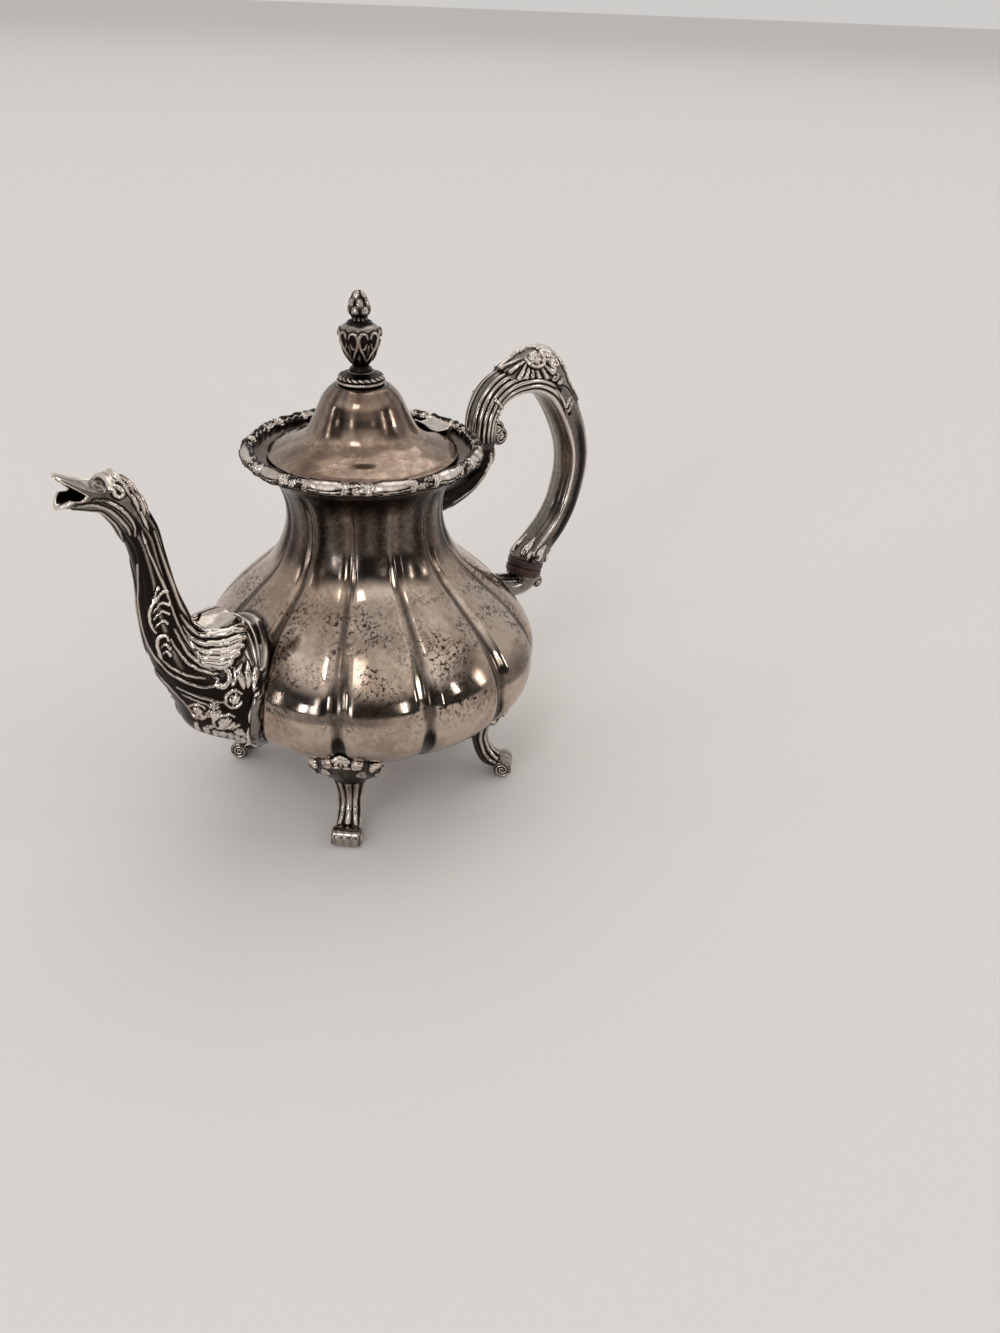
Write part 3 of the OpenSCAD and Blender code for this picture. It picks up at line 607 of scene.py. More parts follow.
def lid():
    top = curve([(LID_R * p, LID_Z + LID_H * q) for p, q in LID_SHAPE], 12)
    under = offset(top, WALL)
    under = even(under[under[:, 1] < LID_TOP - WALL][::-1], 50)
    roll = [(LID_R - LID_ROLL_R * (1 - math.cos(v)), LID_Z + LID_ROLL_R * (1 + math.sin(v)))
            for v in np.linspace(-2.4, 0.25, 14)]
    bore = [(SCREW_BORE_R, LID_TOP), (SCREW_BORE_R, LID_TOP - WALL)]
    grid, a = revolve(np.concatenate([roll, even(top[2:], 110), bore, under]), 256)
    turn = np.degrees(a)
    r, z = np.hypot(grid[..., 0], grid[..., 1]), grid[..., 2]
    # a dark ring round the collar, painted dark reflection streaks on the bell with two painted highlights,
    # and a clouded brim
    reflection_streak = 0.5 + 0.5 * np.sin(6 * a + 0.8) * np.sin(13 * a + 2.1)
    painted_highlight = peak(turn, 221, 5) + peak(turn, 246, 6)
    bell = np.clip(0.34 + 0.38 * reflection_streak ** 1.5 - 0.5 * painted_highlight, 0.05, 0.9)
    clouds = 0.34 + 0.10 * np.sin(9 * a + 4 * np.sin(2 * a))
    tone = 0.8 * peak(r, 11.6, 0.8) * (z > LID_TOP - 2)
    tone = np.maximum(tone, smooth(z, LID_Z + 6, LID_Z + 15) * bell)
    tone = np.maximum(tone, clouds * (z < LID_Z + 8))
    # painted shade along the lowest edge, beside the border
    tone = np.maximum(tone, 0.32 * fade(z, LID_Z + 0.6, LID_Z + 3.5))
    # painted shade on the lid's underside
    tone[-len(under):] = INSIDE_SHADE
    piece("lid_bell", [skin_of(grid, tone, True)], "lid", ["lid_dome"], LID_SHEET)


COLLAR_SHAPE = [(-0.5, 0), (0.1, 0.08), (0.2, 0.17), (-0.1, 0.27), (-0.8, 0.31), (-0.8, 0.36), (-0.3, 0.46),
                (-0.7, 0.62), (-1.9, 0.7), (-2.6, 0.71), (-3.6, 0.77), (-4.9, 0.88), (-5.6, 1)]


def finial_collar():
    """A roped band with a gadrooned one over it."""
    shape = [(COLLAR_R + p, LID_TOP + COLLAR_H * q) for p, q in COLLAR_SHAPE]
    bore = [(COLLAR_BORE_R, LID_TOP), (COLLAR_BORE_R, LID_TOP + COLLAR_H)]
    grid, a = revolve(even(bore[:1] + shape + bore[1:], 130), 352)
    up = (grid[..., 2] - LID_TOP) / COLLAR_H
    r = np.hypot(grid[..., 0], grid[..., 1])
    rope = np.abs(np.cos(24 * a + 1.6 * up * TAU)) ** 0.8
    gadroon = np.abs(np.sin(11 * a + up * TAU)) ** 0.8
    foot_band = dome(up, 0.17, 0.13) * (r > COLLAR_R - 0.9)
    band = dome(up, 0.53, 0.18) * (r > COLLAR_R - 2.4)
    lit = np.maximum(0.95 * foot_band * (0.6 + 0.4 * rope), band * gadroon)
    tone = np.clip(0.92 - 1.05 * lit - 0.5 * peak(up, 0.93, 0.05), 0, 1)
    grid = pushed(grid, 0.3 * foot_band * (rope - 0.7) + 0.9 * band * (gadroon - 0.85))
    piece("finial_collar_cast", [skin_of(grid, tone, True)], "lid", ["finial_collar"], FINIAL)


URN_SHAPE = [(0.56, 0.0), (0.56, 0.04), (0.44, 0.08), (0.48, 0.13), (0.62, 0.24), (0.78, 0.40), (0.92, 0.57),
             (1.0, 0.73), (0.97, 0.82), (0.84, 0.90), (0.62, 0.955), (0.5, 1.0)]
BUD_SHAPE = [(0.78, 0.0), (0.72, 0.05), (0.84, 0.13), (1.0, 0.26), (1.02, 0.40), (0.93, 0.58), (0.72, 0.77),
             (0.44, 0.92), (0.06, 0.995)]


def finial_urn():
    foot_z = LID_TOP + COLLAR_H
    bud_z = foot_z + URN_H
    urn = even(curve([(URN_R * p, foot_z + URN_H * q) for p, q in URN_SHAPE], 8), 170)
    bud = even(curve([(BUD_R * p, bud_z + BUD_H * q) for p, q in BUD_SHAPE], 8), 130)
    rows = np.concatenate([[(0.05, foot_z)], urn, bud])
    grid, _ = revolve(rows, 240)
    rel = Relief(grid)

    def on_urn(t, q, w, h):
        z = foot_z + URN_H * q
        return *polar(np.interp(z, urn[:, 1], urn[:, 0]), t), z, w, h

    def on_bud(t, q, w, h):
        z = bud_z + BUD_H * q
        return *polar(np.interp(z, bud[:, 1], bud[:, 0]), t), z, w, h

    # heart-shaped leaves round the urn, curled over at the shoulder
    for t in TAU * (np.arange(6) + 0.35) / 6:
        for side in (-1, 1):
            rel.stroke([on_urn(t + side * turn, q, w, h) for turn, q, w, h in (
                (0, 0.2, 0.4, 0.6), (0.22, 0.34, 0.65, 0.9), (0.44, 0.52, 0.75, 1.0), (0.5, 0.68, 0.8, 0.9),
                (0.38, 0.80, 0.95, 0.85), (0.16, 0.80, 0.75, 0.8), (0.08, 0.71, 0.55, 0.8))], 5)
            rel.stroke([on_urn(t + side * turn, q, w, h) for turn, q, w, h in (
                (0.38, 0.50, 0.45, 0.6), (0.22, 0.50, 0.6, 0.85), (0.12, 0.60, 0.45, 0.7))], 4)
        rel.stroke([on_urn(t, 0.32, 0.4, 0.4), on_urn(t, 0.44, 0.7, 0.7), on_urn(t, 0.56, 0.45, 0.7)], 4)
        t += TAU / 12
        rel.stroke([on_urn(t, 0.17, 0.4, 0.4), on_urn(t, 0.28, 0.7, 0.7), on_urn(t, 0.38, 0.3, 0.5)], 4)
    for q, w, h in ((0.0, 0.5, 0.3), (0.06, 0.45, 0.45), (0.975, 0.5, 0.35)):
        rel.stroke([on_urn(t, q, w, h) for t in np.linspace(0, TAU, 60)], 2)
    # a ring of beads under the bud, and the bud's tiers of round scales
    for t in ring_angles(11):
        rel.stroke([on_bud(t, 0.05, 0.78, 0.7), on_bud(t + 0.02, 0.06, 0.78, 0.7)], 2)
    for low, high, count, turn in ((0.70, 0.98, 4, 0.3), (0.42, 0.72, 6, 0.0), (0.15, 0.45, 6, 0.5)):
        middle = 0.5 * (low + high)
        w = 0.40 * TAU * on_bud(0, middle, 0, 0)[0] / count
        for t in ring_angles(count, turn):
            rel.stroke([on_bud(t, low + 0.06, 0.8 * w, 0.5), on_bud(t, middle, w, 0.95),
                        on_bud(t, high - 0.06, 0.85 * w, 0.9)], 5, 0.8)
    up = (rows[:, 1:2] - foot_z) / URN_H
    shoulder = smooth(up, 0.80, 0.86) * fade(up, 0.93, 0.97)
    tone = rel.tone(0.9 - 0.5 * shoulder, 0.85, 1.0)
    piece("finial_urn_cast", [skin_of(pushed(grid, rel.height() - 0.5), tone, True)], "lid", ["finial_urn"],
          FINIAL)


# ---------------------------------------------------------------- border round the mouth


def border():
    """Twelve lengths of ornament, each a smooth knot between scrolls and then a shell among leaves."""
    a, v = ring_angles(1200)[:, None], ring_angles(72)
    dice = random.Random(11)

    def surface(turn, up, r=BORDER_SECTION_R):
        """The point at angle turn round the mouth and angle up round the section."""
        return np.array([*polar(BORDER_R + r * math.cos(up), turn), BORDER_Z + r * math.sin(up)])

    r = BORDER_SECTION_R + 0.22 * np.sin(12 * a) + 0.16 * np.sin(31 * a + 1.0) + 0.12 * np.sin(53 * a + 2.0)
    out = BORDER_R + r * np.cos(v)
    grid = grid_of(out * np.cos(a), out * np.sin(a), BORDER_Z + r * np.sin(v))
    rel = Relief(grid)
    length = TAU / 12

    def path(rows, steps=4, power=1.0):
        """A stroke from rows of turn, up, half-width and height."""
        rel.stroke([(*surface(p[0], p[1]), p[2], p[3]) for p in rows], steps, power)

    def put(strokes, turn, up, spin=0.0, flip=1):
        along = np.array([-math.sin(turn), math.cos(turn), 0.0]) * flip
        across = unit(surface(turn, up + 0.05) - surface(turn, up - 0.05))
        c, s = polar(1, spin)
        rel.motif(strokes, surface(turn, up), c * along + s * across, c * across - s * along)

    for i in range(12):
        start = i * length + dice.uniform(-0.008, 0.008)
        flip = 1 if i % 2 else -1
        mid, span = start + 0.27 * length, (0.21 + 0.03 * (i % 3)) * length
        lean = dice.uniform(-0.15, 0.15)
        # a smooth convex length between scrolled ends
        ks = np.linspace(-1, 1, 9)
        path([(mid + k * span, 0.9 + lean * k, 2.9 - k * k, 1.15 - 0.35 * k * k) for k in ks], 5, 0.7)
        path([(mid + k * span, -0.28 + 0.2 * k * k, 0.5, 0.85) for k in ks])
        for side in (-1, 1):
            curl = volute(1.2, 90 - 90 * side, 1.1, 0.42, 1.15, side * flip)
            put([curl], mid + side * span, 0.75 + 0.3 * side)
            for k, high in enumerate((1.25, 0.95)):
                turn = mid + side * (span + 0.024 + 0.024 * k)
                path([(turn + 0.008 * math.sin(2 * s), s, 0.62, high) for s in np.linspace(-0.7, 3.0, 11)])
        # between the knots: a small shell, scrolls at both sides of it and leaves that run to the knots
        c = start + 0.74 * length
        shell = fan(4, 0.4, 2.7, 2.0, 1.3, 0.2)
        put(shell, c - 0.012 * flip, 0.62 if i % 3 else 1.0, math.pi * 0.55 * flip, flip)
        for r, angle, turns, w, h, sign, at, up, spin in (
                (1.7, 200, 1.2, 0.58, 1.4, 1, -0.078, 1.2, 0.2),
                (1.6, 20, 1.2, 0.55, 1.3, -1, 0.072, 0.3, 0.4),
                (1.3, 120, 1.1, 0.5, 1.2, 1, 0.05, 1.75, 0.1)):
            put([volute(r, angle, turns, w, h, sign)], c + at * flip, up, spin, flip)
        for at, up, spin, long, wide in ((-0.03, -0.05, 0.18, 4.6, 1.7), (0.03, 1.0, -0.12, 4.4, 1.6),
                                         (0.0, 2.2, 0.1, 5.0, 1.7), (-0.03, 2.2, 3.1, 4.6, 1.6)):
            put(leaf(long, wide, 1.25), c + at * flip, up, spin, flip)
        for k0, up, swing, waves, w, h in ((0.02, 2.35, 0.2, 40, 0.55, 0.75), (0, -0.62, 0.15, 33, 0.5, 0.6)):
            path([(start + k * length, up + swing * math.sin(waves * k + i), w, h)
                  for k in np.linspace(k0, 1 - k0, 13)])
        for _ in range(4):
            turn, up = start + dice.uniform(0.5, 0.98) * length, dice.uniform(-0.3, 2.4)
            tip = [(0, 0, 0.4, 0.7), (0.9, 0.3, 0.5, 1.15), (1.7, 0.9, 0.35, 0.9)]
            put([tip], turn, up, dice.uniform(0, TAU))
    # the strokes are cut into the ring, so that nothing of them passes the solid's outline
    skin = skin_of(pushed(grid, 0.1 - rel.height()), rel.tone(0.75, 0.92, 1.0), True)
    piece("border_cast", [skin], "pot", ["rim_border"], CAST)


# ---------------------------------------------------------------- spout

# the spout's sections from root to tip: out from the belly, up from its widest line, tilt, half-depth and
# half-width
SPOUT = [(-3.9, 9.7, 76, 28.1, 24.5), (3.4, 17.5, 63, 28, 21.5), (9.5, 23.8, 61, 21.4, 17.5),
         (14.7, 27.8, 57, 16.4, 14.5), (19, 37.5, 38, 12.4, 11.8), (21.5, 49.7, 17, 10.2, 9.9),
         (22.9, 60, 8, 8.6, 8.6), (23.4, 69, 6, 7.5, 7.6), (24.6, 78.7, 9, 7.1, 7.3),
         (26, 87.2, 22, 7.4, 7.5), (28.9, 94.4, 38, 7.8, 7.8), (32.2, 101.4, 55, 8.4, 8.1),
         (35.9, 106.4, 68, 8.8, 8.2), (40.2, 108, 74, 6.6, 7.8), (45.6, 108.1, 80, 4.7, 7.4),
         (51.6, 110, 84, 4.8, 7), (56.95, 112.6, 77, 6.7, 5.2)]
# the hood's rim from the brow to the tip: x, height and half-width
HOOD_EDGE = np.array([(-118, 180.2, 8.2), (-121, 179.8, 9.2), (-125, 180.7, 9.6), (-129.5, 182.8, 8.6),
                      (-133.5, 185.4, 6.2), (-136.5, 187.2, 3.6), (-138.6, 188.4, 1.1)])
BROW_X = -118
SCOOP_X, SCOOP_D, SCOOP_W, SCOOP_H = -80.8, 11.2, 8.0, 4.4


def side_ring(gap, z, h, w, a, sign=-1):
    """A ring that stands off the body by gap. Off the surface itself, it bridges the creases."""
    y, v = w * np.sin(a), z + h * np.cos(a)
    out = body_point_x(y, v) if gap <= 0.2 else np.sqrt(np.maximum(radius_at(v) ** 2 - y * y, 0)) - 0.8
    return grid_of(sign * (out + gap), y, v)


def hood(grid, a, wall):
    """Turns the top of the spout's head into a spoon between two rims."""
    x, y, z = np.moveaxis(grid, -1, 0)
    u = np.clip(a / RIM_ANGLE, -1, 1) + 0 * x
    rim, w = (np.interp(-x, -HOOD_EDGE[:, 0], HOOD_EDGE[:, k]) for k in (1, 2))
    w = np.maximum(w - 0.7 * wall, 0.3 * w)
    spoon = smooth(-x, 118.5, 124)
    new_y = w * (0.7 * u + 0.3 * np.sin(0.5 * math.pi * u))
    hollow = SPOON_D * np.minimum(1, w / 6) * spoon - 2.6 * (1 - spoon)
    new_z = rim - hollow * (1 - u * u) + 0.5 * smooth(np.abs(u), 0.78, 0.97) - wall
    side = np.clip((math.pi / 2 - np.abs(a)) / (math.pi / 2 - RIM_ANGLE), 0, 1)
    share = np.where(np.abs(a) <= RIM_ANGLE, 1.0, side) * smooth(-x, 117.5, 121.5) * (np.abs(a) < math.pi / 2)
    return grid_of(x, y + share * (new_y - y), z + share * (new_z - z))


def scoop(grid):
    """0 on the rim of the scoop on top of the root, and less inside it."""
    return ((grid[..., 0] - SCOOP_X) / SCOOP_D) ** 2 + (grid[..., 1] / SCOOP_W) ** 2 - 1


def dent(grid):
    out = grid.copy()
    out[..., 2] -= SCOOP_H * np.clip(-scoop(grid), 0, 1) ** 0.75 * (grid[..., 2] > 96)
    return out


def beak(rows, a, wall):
    """The spout's tube with its end cut back to a mouth at each side, under the hood."""
    grid = section([(*s[:3], s[3] - wall, s[4] - wall) for s in rows], a)
    d = np.r_[0, np.cumsum(np.linalg.norm(np.diff(rows[:, :2], axis=0), axis=1))]
    c = np.abs(a)
    chin = 0.52 + 0.48 * np.sin(np.clip(c - math.pi / 2, 0, None))
    jaw = smooth(c, math.radians(82), math.radians(100)) * chin
    reach = np.maximum(fade(c, RIM_ANGLE + 0.02, RIM_ANGLE + 0.17), jaw)
    first = int(np.searchsorted(-rows[:, 0], -BROW_X))
    out = grid.copy()
    for j in range(len(a)):
        end = d[-1] - MOUTH_BACK * (1 - reach[j])
        s = d.copy()
        s[first:] = d[first] + (d[first:] - d[first]) * (end - d[first]) / (d[-1] - d[first])
        for k in range(3):
            out[:, j, k] = np.interp(s, d, grid[:, j, k])
    return hood(out, a, wall)


def spout():
    a = ring_angles(216, -108)
    c = np.abs(a)
    stations = curve([(-BELLY_R - s[0], BELLY_Z + s[1], *s[2:]) for s in SPOUT], 16)
    tube = beak(even(stations, 330), a, 0.0)
    roots = [side_ring(gap, ROOT_Z, ROOT_H - less, ROOT_W - less, a) for gap, less in (
        (0.1, 0.4), (0.5, 0), (1.2, -0.2), (2.2, -0.1), (3.2, 0.2), (ROOT_COLLAR, 1.1))]
    lead = between(roots[-1], tube[0], 20)
    outer = dent(np.concatenate([roots, lead, tube]))
    inner_root = side_ring(0.1, ROOT_Z, ROOT_H - SPOUT_WALL, ROOT_W - SPOUT_WALL, a)
    inner = dent(np.concatenate([inner_root[None], beak(even(stations, 90), a, SPOUT_WALL)]))
    first = len(roots) + len(lead)
    rows = np.arange(len(outer))[:, None]
    x, z = outer[..., 0], outer[..., 2]
    # flutes up the neck, a groove at each side of its front, and the ribs of the collar over its upper part
    neck = smooth(rows, first + 62, first + 100) * fade(rows, first + 232, first + 262)
    fluted = neck * fade(c, math.radians(112), math.radians(135))
    wave = np.abs(np.cos(5.5 * a))
    front = peak(c, math.radians(150), 0.1) * neck
    collar = np.r_[0, np.cumsum(np.linalg.norm(np.diff(outer[:first + 1, len(a) // 2], axis=0), axis=1))]
    t = np.interp(np.arange(len(outer)), np.arange(first + 1), collar / collar[-1], right=2.0)[:, None]
    over = fade(c, math.radians(52), math.radians(70)) * (t < 1.0) * smooth(t, 0.05, 0.12)
    ribs = np.abs(np.sin(3 * math.pi * np.clip(t, 0, 1))) ** 0.6 * over
    rel = Relief(outer)
    spout_ornament(rel)
    # patina between the flutes and between the collar's ribs; darker low on the root and along the neck
    plain = 0.58 + 0.30 * fade(z, 84, 97) * smooth(rows, 4, 12) * fade(rows, first + 60, first + 75)
    plain = plain + 0.25 * smooth(rows, first + 40, first + 80) * fade(rows, first + 232, first + 262)
    plain = plain + fluted * (0.55 * wave ** 1.5 - 0.32) + over * (0.75 * fade(ribs, 0.15, 0.7) - 0.25)
    plain = plain + 0.05 * smooth(rows, first + 262, first + 285) - 0.38 * ((scoop(outer) < 0) & (z > 92))
    tone = rel.tone(np.clip(plain, 0, 1), 0.85)
    # painted highlights on the hood's rims round a mid-dark top, and painted shade on the cheeks under the
    # hood
    head = rows > first + 200
    spoon = smooth(-x, 119.5, 122) * (c < RIM_ANGLE) * head
    tone = tone * (1 - spoon) + spoon * 0.52 * fade(c / RIM_ANGLE, 0.84, 0.93)
    tone = np.maximum(tone, 0.6 * smooth(-x, 119, 122) * (c > RIM_ANGLE) * (c < math.radians(93)) * head)
    lip = smooth(rows, len(outer) - 6, len(outer) - 3)
    tone = tone * (1 - lip) + 0.04 * lip
    height = rel.height() * (1 - smooth(-x, 122, 124.5) * spoon) - 0.95 * wave ** 0.8 * fluted - 0.35 * front
    height = height + 1.25 * ribs + 0.3 * lip * (c > math.radians(96))
    # no relief where the root meets the body, and the tip stays inside the solids' box
    outer = outer + (pushed(outer, height) - outer) * smooth(rows, 1, 5)[..., None]
    outer[..., 0] += 0.35 * smooth(-outer[..., 0], 136, 140)
    # painted shade inside the spout, clean at its lip
    inside_shade = np.full(inner.shape[:2], 0.95)
    inside_shade[-2:] = 0.05
    skin = skin_of(np.concatenate([outer, inner[::-1]]), np.concatenate([tone, inside_shade[::-1]]), True)
    piece("spout_cast", [skin], "pot", ["spout"], CAST)


def spout_ornament(rel):
    """The spout's strokes. Some of their points are where rays hit the solid, cast through places read
    off the photograph, and the others were moved or placed one by one."""
    def put(rows):
        rel.stroke(rows, mirror=True)

    # the shell: a scoop on top of the root with a rim, and ribs that sweep round it from the neck
    put(line([(-93.5, -3.4, 115), (-89.5, -5.2, 110.6), (-84.1, -8.0, 107.6), (-78.2, -9.4, 107),
              (-72, -7.9, 106.4), (-68.4, -4, 105.4), (-67.4, 0, 104.6)], 1.1, 1.25, 0.8))
    starts = [(-98.5, -8.2, 121), (-98.5, -9.2, 116), (-98.1, -10, 111.8), (-97.2, -11, 107.2),
              (-95.9, -12, 102.6)]
    ends = [(-72.8, -9.6, 105.6), (-74.6, -13.2, 104.3), (-76.9, -15.6, 102.2), (-79.4, -16.9, 99.8),
            (-82.8, -17.2, 97.4)]
    knees = [(-91, -8.2, 108.8), (-91.3, -10.2, 105.6), (-91.4, -12.4, 102.8), (-91.2, -14, 100.2),
             (-90.6, -15.2, 98)]
    for s, k, e in zip(starts, knees, ends):
        before = 0.5 * np.add(s, k) + (-0.9, 0, -1.2)
        after = 0.5 * np.add(k, e) + (0, -0.5, -1.0)
        put([(*s, 0.7, 0.5), (*before, 0.95, 0.8), (*k, 1.25, 1.15), (*after, 1.5, 1.4), (*e, 1.65, 1.7)])
    # long ridges of the neck that run into the shell and the scrolls
    ridges = [[(-104.3, -6.2, 159.3), (-99.9, -6.2, 135.9), (-98, -7.2, 125.1), (-95, -7.1, 117.2)],
              [(-109.5, -7.4, 157.5), (-106.5, -7.1, 145.6), (-103.6, -7.5, 133.7), (-101.4, -9, 120),
               (-98.2, -10, 109), (-93.4, -12.9, 100.6), (-88.6, -15.8, 96.4)],
              [(-111.9, -3.5, 145.8), (-112.1, -1, 130), (-111.3, -1.6, 112), (-108.6, -5.6, 100),
               (-103.6, -10.2, 93.2), (-97, -14.4, 88.8), (-91.4, -17, 88.6), (-89.6, -17.6, 91.2),
               (-91.2, -16.8, 92.4)],
              [(-110.2, -6.2, 104.5), (-105.2, -9.6, 98.4), (-99.6, -12.6, 94.2), (-94.2, -15, 92.4)],
              [(-108.3, 0, 95), (-106.4, -3.6, 89.6), (-104.2, -6.2, 83.3), (-100.4, -8.2, 76.2),
               (-97, -10, 70)],
              [(-104.5, -8.6, 112), (-101.2, -10.4, 103), (-97.0, -12.4, 97.6), (-91.8, -15.0, 94.0),
               (-88.9, -16.6, 93.6)],
              [(-102.6, -9.2, 116), (-99.6, -10.2, 105.5), (-95.2, -12.8, 98.8), (-90.2, -15.4, 95.2)]]
    for r in ridges:
        put(line(r, 0.75, 0.8, 0.8))
    # acanthus on the middle of the neck, in two leaves
    put(line([(-103.8, -7.7, 133.4), (-107.5, -7.3, 131), (-110.2, -5.6, 125.3), (-110.5, -5.6, 119.6),
              (-109.2, -6.7, 115.7)], 0.75, 1.1, 0.8))
    for p, q, r in (((-109.2, -6.6, 130), (-107.2, -7.4, 134.2), (-106.2, -7.4, 135.2)),
                    ((-108.6, -6.8, 128.4), (-105.4, -8, 132.6), (-103.4, -8, 133.2)),
                    ((-109.6, -6.6, 124.6), (-106.4, -8.2, 128.6), (-103.6, -8.8, 127.4)),
                    ((-109.8, -6.6, 121.6), (-106.8, -8.6, 125), (-104.2, -9.2, 123.6)),
                    ((-109.6, -7, 118.2), (-107.2, -8.8, 121), (-105.2, -9.4, 119.6))):
        put(comma([p, q, r], 0.85, 1.5))
    put(line([(-108.6, -7.2, 103.4), (-109.4, -6.6, 108.4), (-108.6, -7, 113.2), (-106.4, -8.6, 114.4),
              (-105.6, -9.3, 111.8)], 0.8, 1.3, 0.8))
    for p, q, r in (((-108.4, -7.4, 108.6), (-106.9, -8.8, 110.2), (-105.7, -9.6, 108.2)),
                    ((-108.2, -7.6, 105.4), (-106.8, -9, 106.8), (-105.9, -9.8, 104.8))):
        put(comma([p, q, r], 0.8, 1.3))
    # scrolls, leaves and flowers low on the root
    put(comma([(-93.8, -13.7, 98.4), (-89.4, -16, 95.9), (-86.1, -17.2, 95.2), (-84.9, -18.8, 91.6),
               (-87.4, -19.1, 87.9), (-89.9, -18.0, 88.6)], 1.35, 1.5))
    put(comma([(-84.4, -17.2, 96.6), (-82.4, -18.8, 94), (-82.8, -19.6, 90.8), (-84, -20, 88.4)], 1.0, 1.3))
    leaves = [[(-79.1, -19.1, 95.7), (-81.2, -19.6, 92.5), (-80.4, -21.0, 88.4), (-80.6, -21.7, 85.2)],
              [(-76.4, -19.6, 96.4), (-77.6, -20.9, 92.6), (-77.8, -22.2, 88.6), (-79, -22.6, 85.4)],
              [(-70.8, -22, 92), (-74.3, -22.4, 88.4), (-75.6, -24, 84.3), (-75.6, -26, 81.0)],
              [(-73.6, -22, 93.6), (-74.9, -23, 90), (-76.4, -24, 86.4)],
              [(-70.4, -25.4, 87.6), (-72.4, -26.4, 83.6), (-73, -27.6, 79.2)],
              [(-71.4, -27.6, 78), (-73.4, -27, 73.6), (-73.6, -26.6, 69.2)],
              [(-74.4, -26, 78.6), (-75.6, -25.6, 74), (-75.2, -25.4, 69.6)],
              [(-77.6, -24.6, 77), (-78.6, -24.2, 72.6), (-77.8, -23.8, 68)],
              [(-73.4, -25.6, 66.4), (-74.4, -24, 61.6), (-74.6, -22, 57)],
              [(-76.8, -23, 65.4), (-77.6, -21, 60.4), (-77.2, -18.6, 56)]]
    for r in leaves:
        put([(*r[0], 0.5, 0.6)] + [(*p, 1.35, 1.35) for p in r[1:-1]] + [(*r[-1], 0.5, 0.7)])
    put(line([(-103.6, -8, 88.4), (-98.4, -12.4, 84.8), (-92.8, -16, 81.8), (-88.4, -18.6, 80.6)],
             0.8, 1.0, 0.7))
    put(line([(-102.6, -8.6, 84.6), (-97.4, -12.8, 81.4), (-92.4, -16.4, 78.6)], 0.65, 0.9, 0.7))
    spots = [((-97.2, -11.6, 75.5), 4.1, 6), ((-88.4, -17.4, 70.1), 4.7, 7), ((-84.6, -20.6, 81.4), 4.0, 6)]
    for at, r, petals in spots:
        ring = [(*polar(r, t), 0.62, 1.15 + 0.25 * math.sin(5 * t)) for t in np.linspace(0.6, 5.9, 18)]
        for strokes in (rosette(0.62 * r, petals, 1.3), [ring]):
            rel.motif(strokes, at, (0.62, -0.78, 0), (0.25, 0, 1), True)
    dice = random.Random(5)
    for i in range(15):
        u, v = dice.random(), dice.random()
        p = (np.array([-99.0, -9.5, 79.0]) * (1 - u) + np.array([-78.0, -24.0, 79.0]) * u) * (1 - v) \
            + (np.array([-93.0, -11.5, 62.0]) * (1 - u) + np.array([-76.0, -22.5, 58.0]) * u) * v
        turn = dice.uniform(0, TAU)
        r = dice.uniform(1.1, 1.9)
        if i % 3:
            kind = [volute(1.25 * r, 0, 1.2, 0.27 * r, 1.15, dice.choice((-1, 1)))]
        else:
            kind = leaf(2.6 * r, 0.9 * r, 0.95)
        cos, sin = polar(1, turn)
        rel.motif(kind, p, (0.62 * cos, -0.78 * cos, sin), (-0.62 * sin, 0.78 * sin, cos), True)
    for i in range(9):
        t = i / 8
        p = np.array([-97.4, -9.2, 68.4]) * (1 - t) + np.array([-76.2, -18.4, 52.6]) * t
        p[1] -= 3.2 * math.sin(math.pi * t)
        q = p + np.array([1.6 - 2.0 * t, 1.4, -5.6])
        m = 0.5 * (p + q) + np.array([1.0, 0.6, 0.4])
        put([(*p, 1.0, 0.9), (*m, 1.25, 1.3), (*q, 0.45, 0.8)])
    # throat flutes with a leaf tip, a drop beside them, and the line under the hood
    for r, w in (([(-133, -5.8, 177.2), (-127, -7.1, 176.2), (-120.5, -6.6, 171.6), (-115.8, -6.2, 165.4),
                   (-113.9, -5.8, 160.4)], 0.8),
                 ([(-127.4, -7.1, 178.2), (-122.8, -7.5, 177.2), (-117.1, -8, 172.4), (-112.9, -7.8, 165.3),
                   (-112.6, -6.8, 159.6)], 0.8),
                 ([(-134, -3.4, 175.4), (-127.6, -3.6, 173.4), (-121.4, -3.4, 169), (-116.6, -3, 162.6),
                   (-115, -1.4, 157.2)], 0.8),
                 ([(-133.6, 0, 175), (-127.4, 0, 172.8), (-121.4, 0, 168.6), (-116.9, 0, 162),
                   (-114.9, 0, 156)], 0.9)):
        put(line(r, w, 0.8, 0.7))
    put(comma([(-109.8, -7.4, 161.6), (-109.6, -7.6, 158.6), (-108.9, -7.3, 155.9)], 0.8, 1.1))
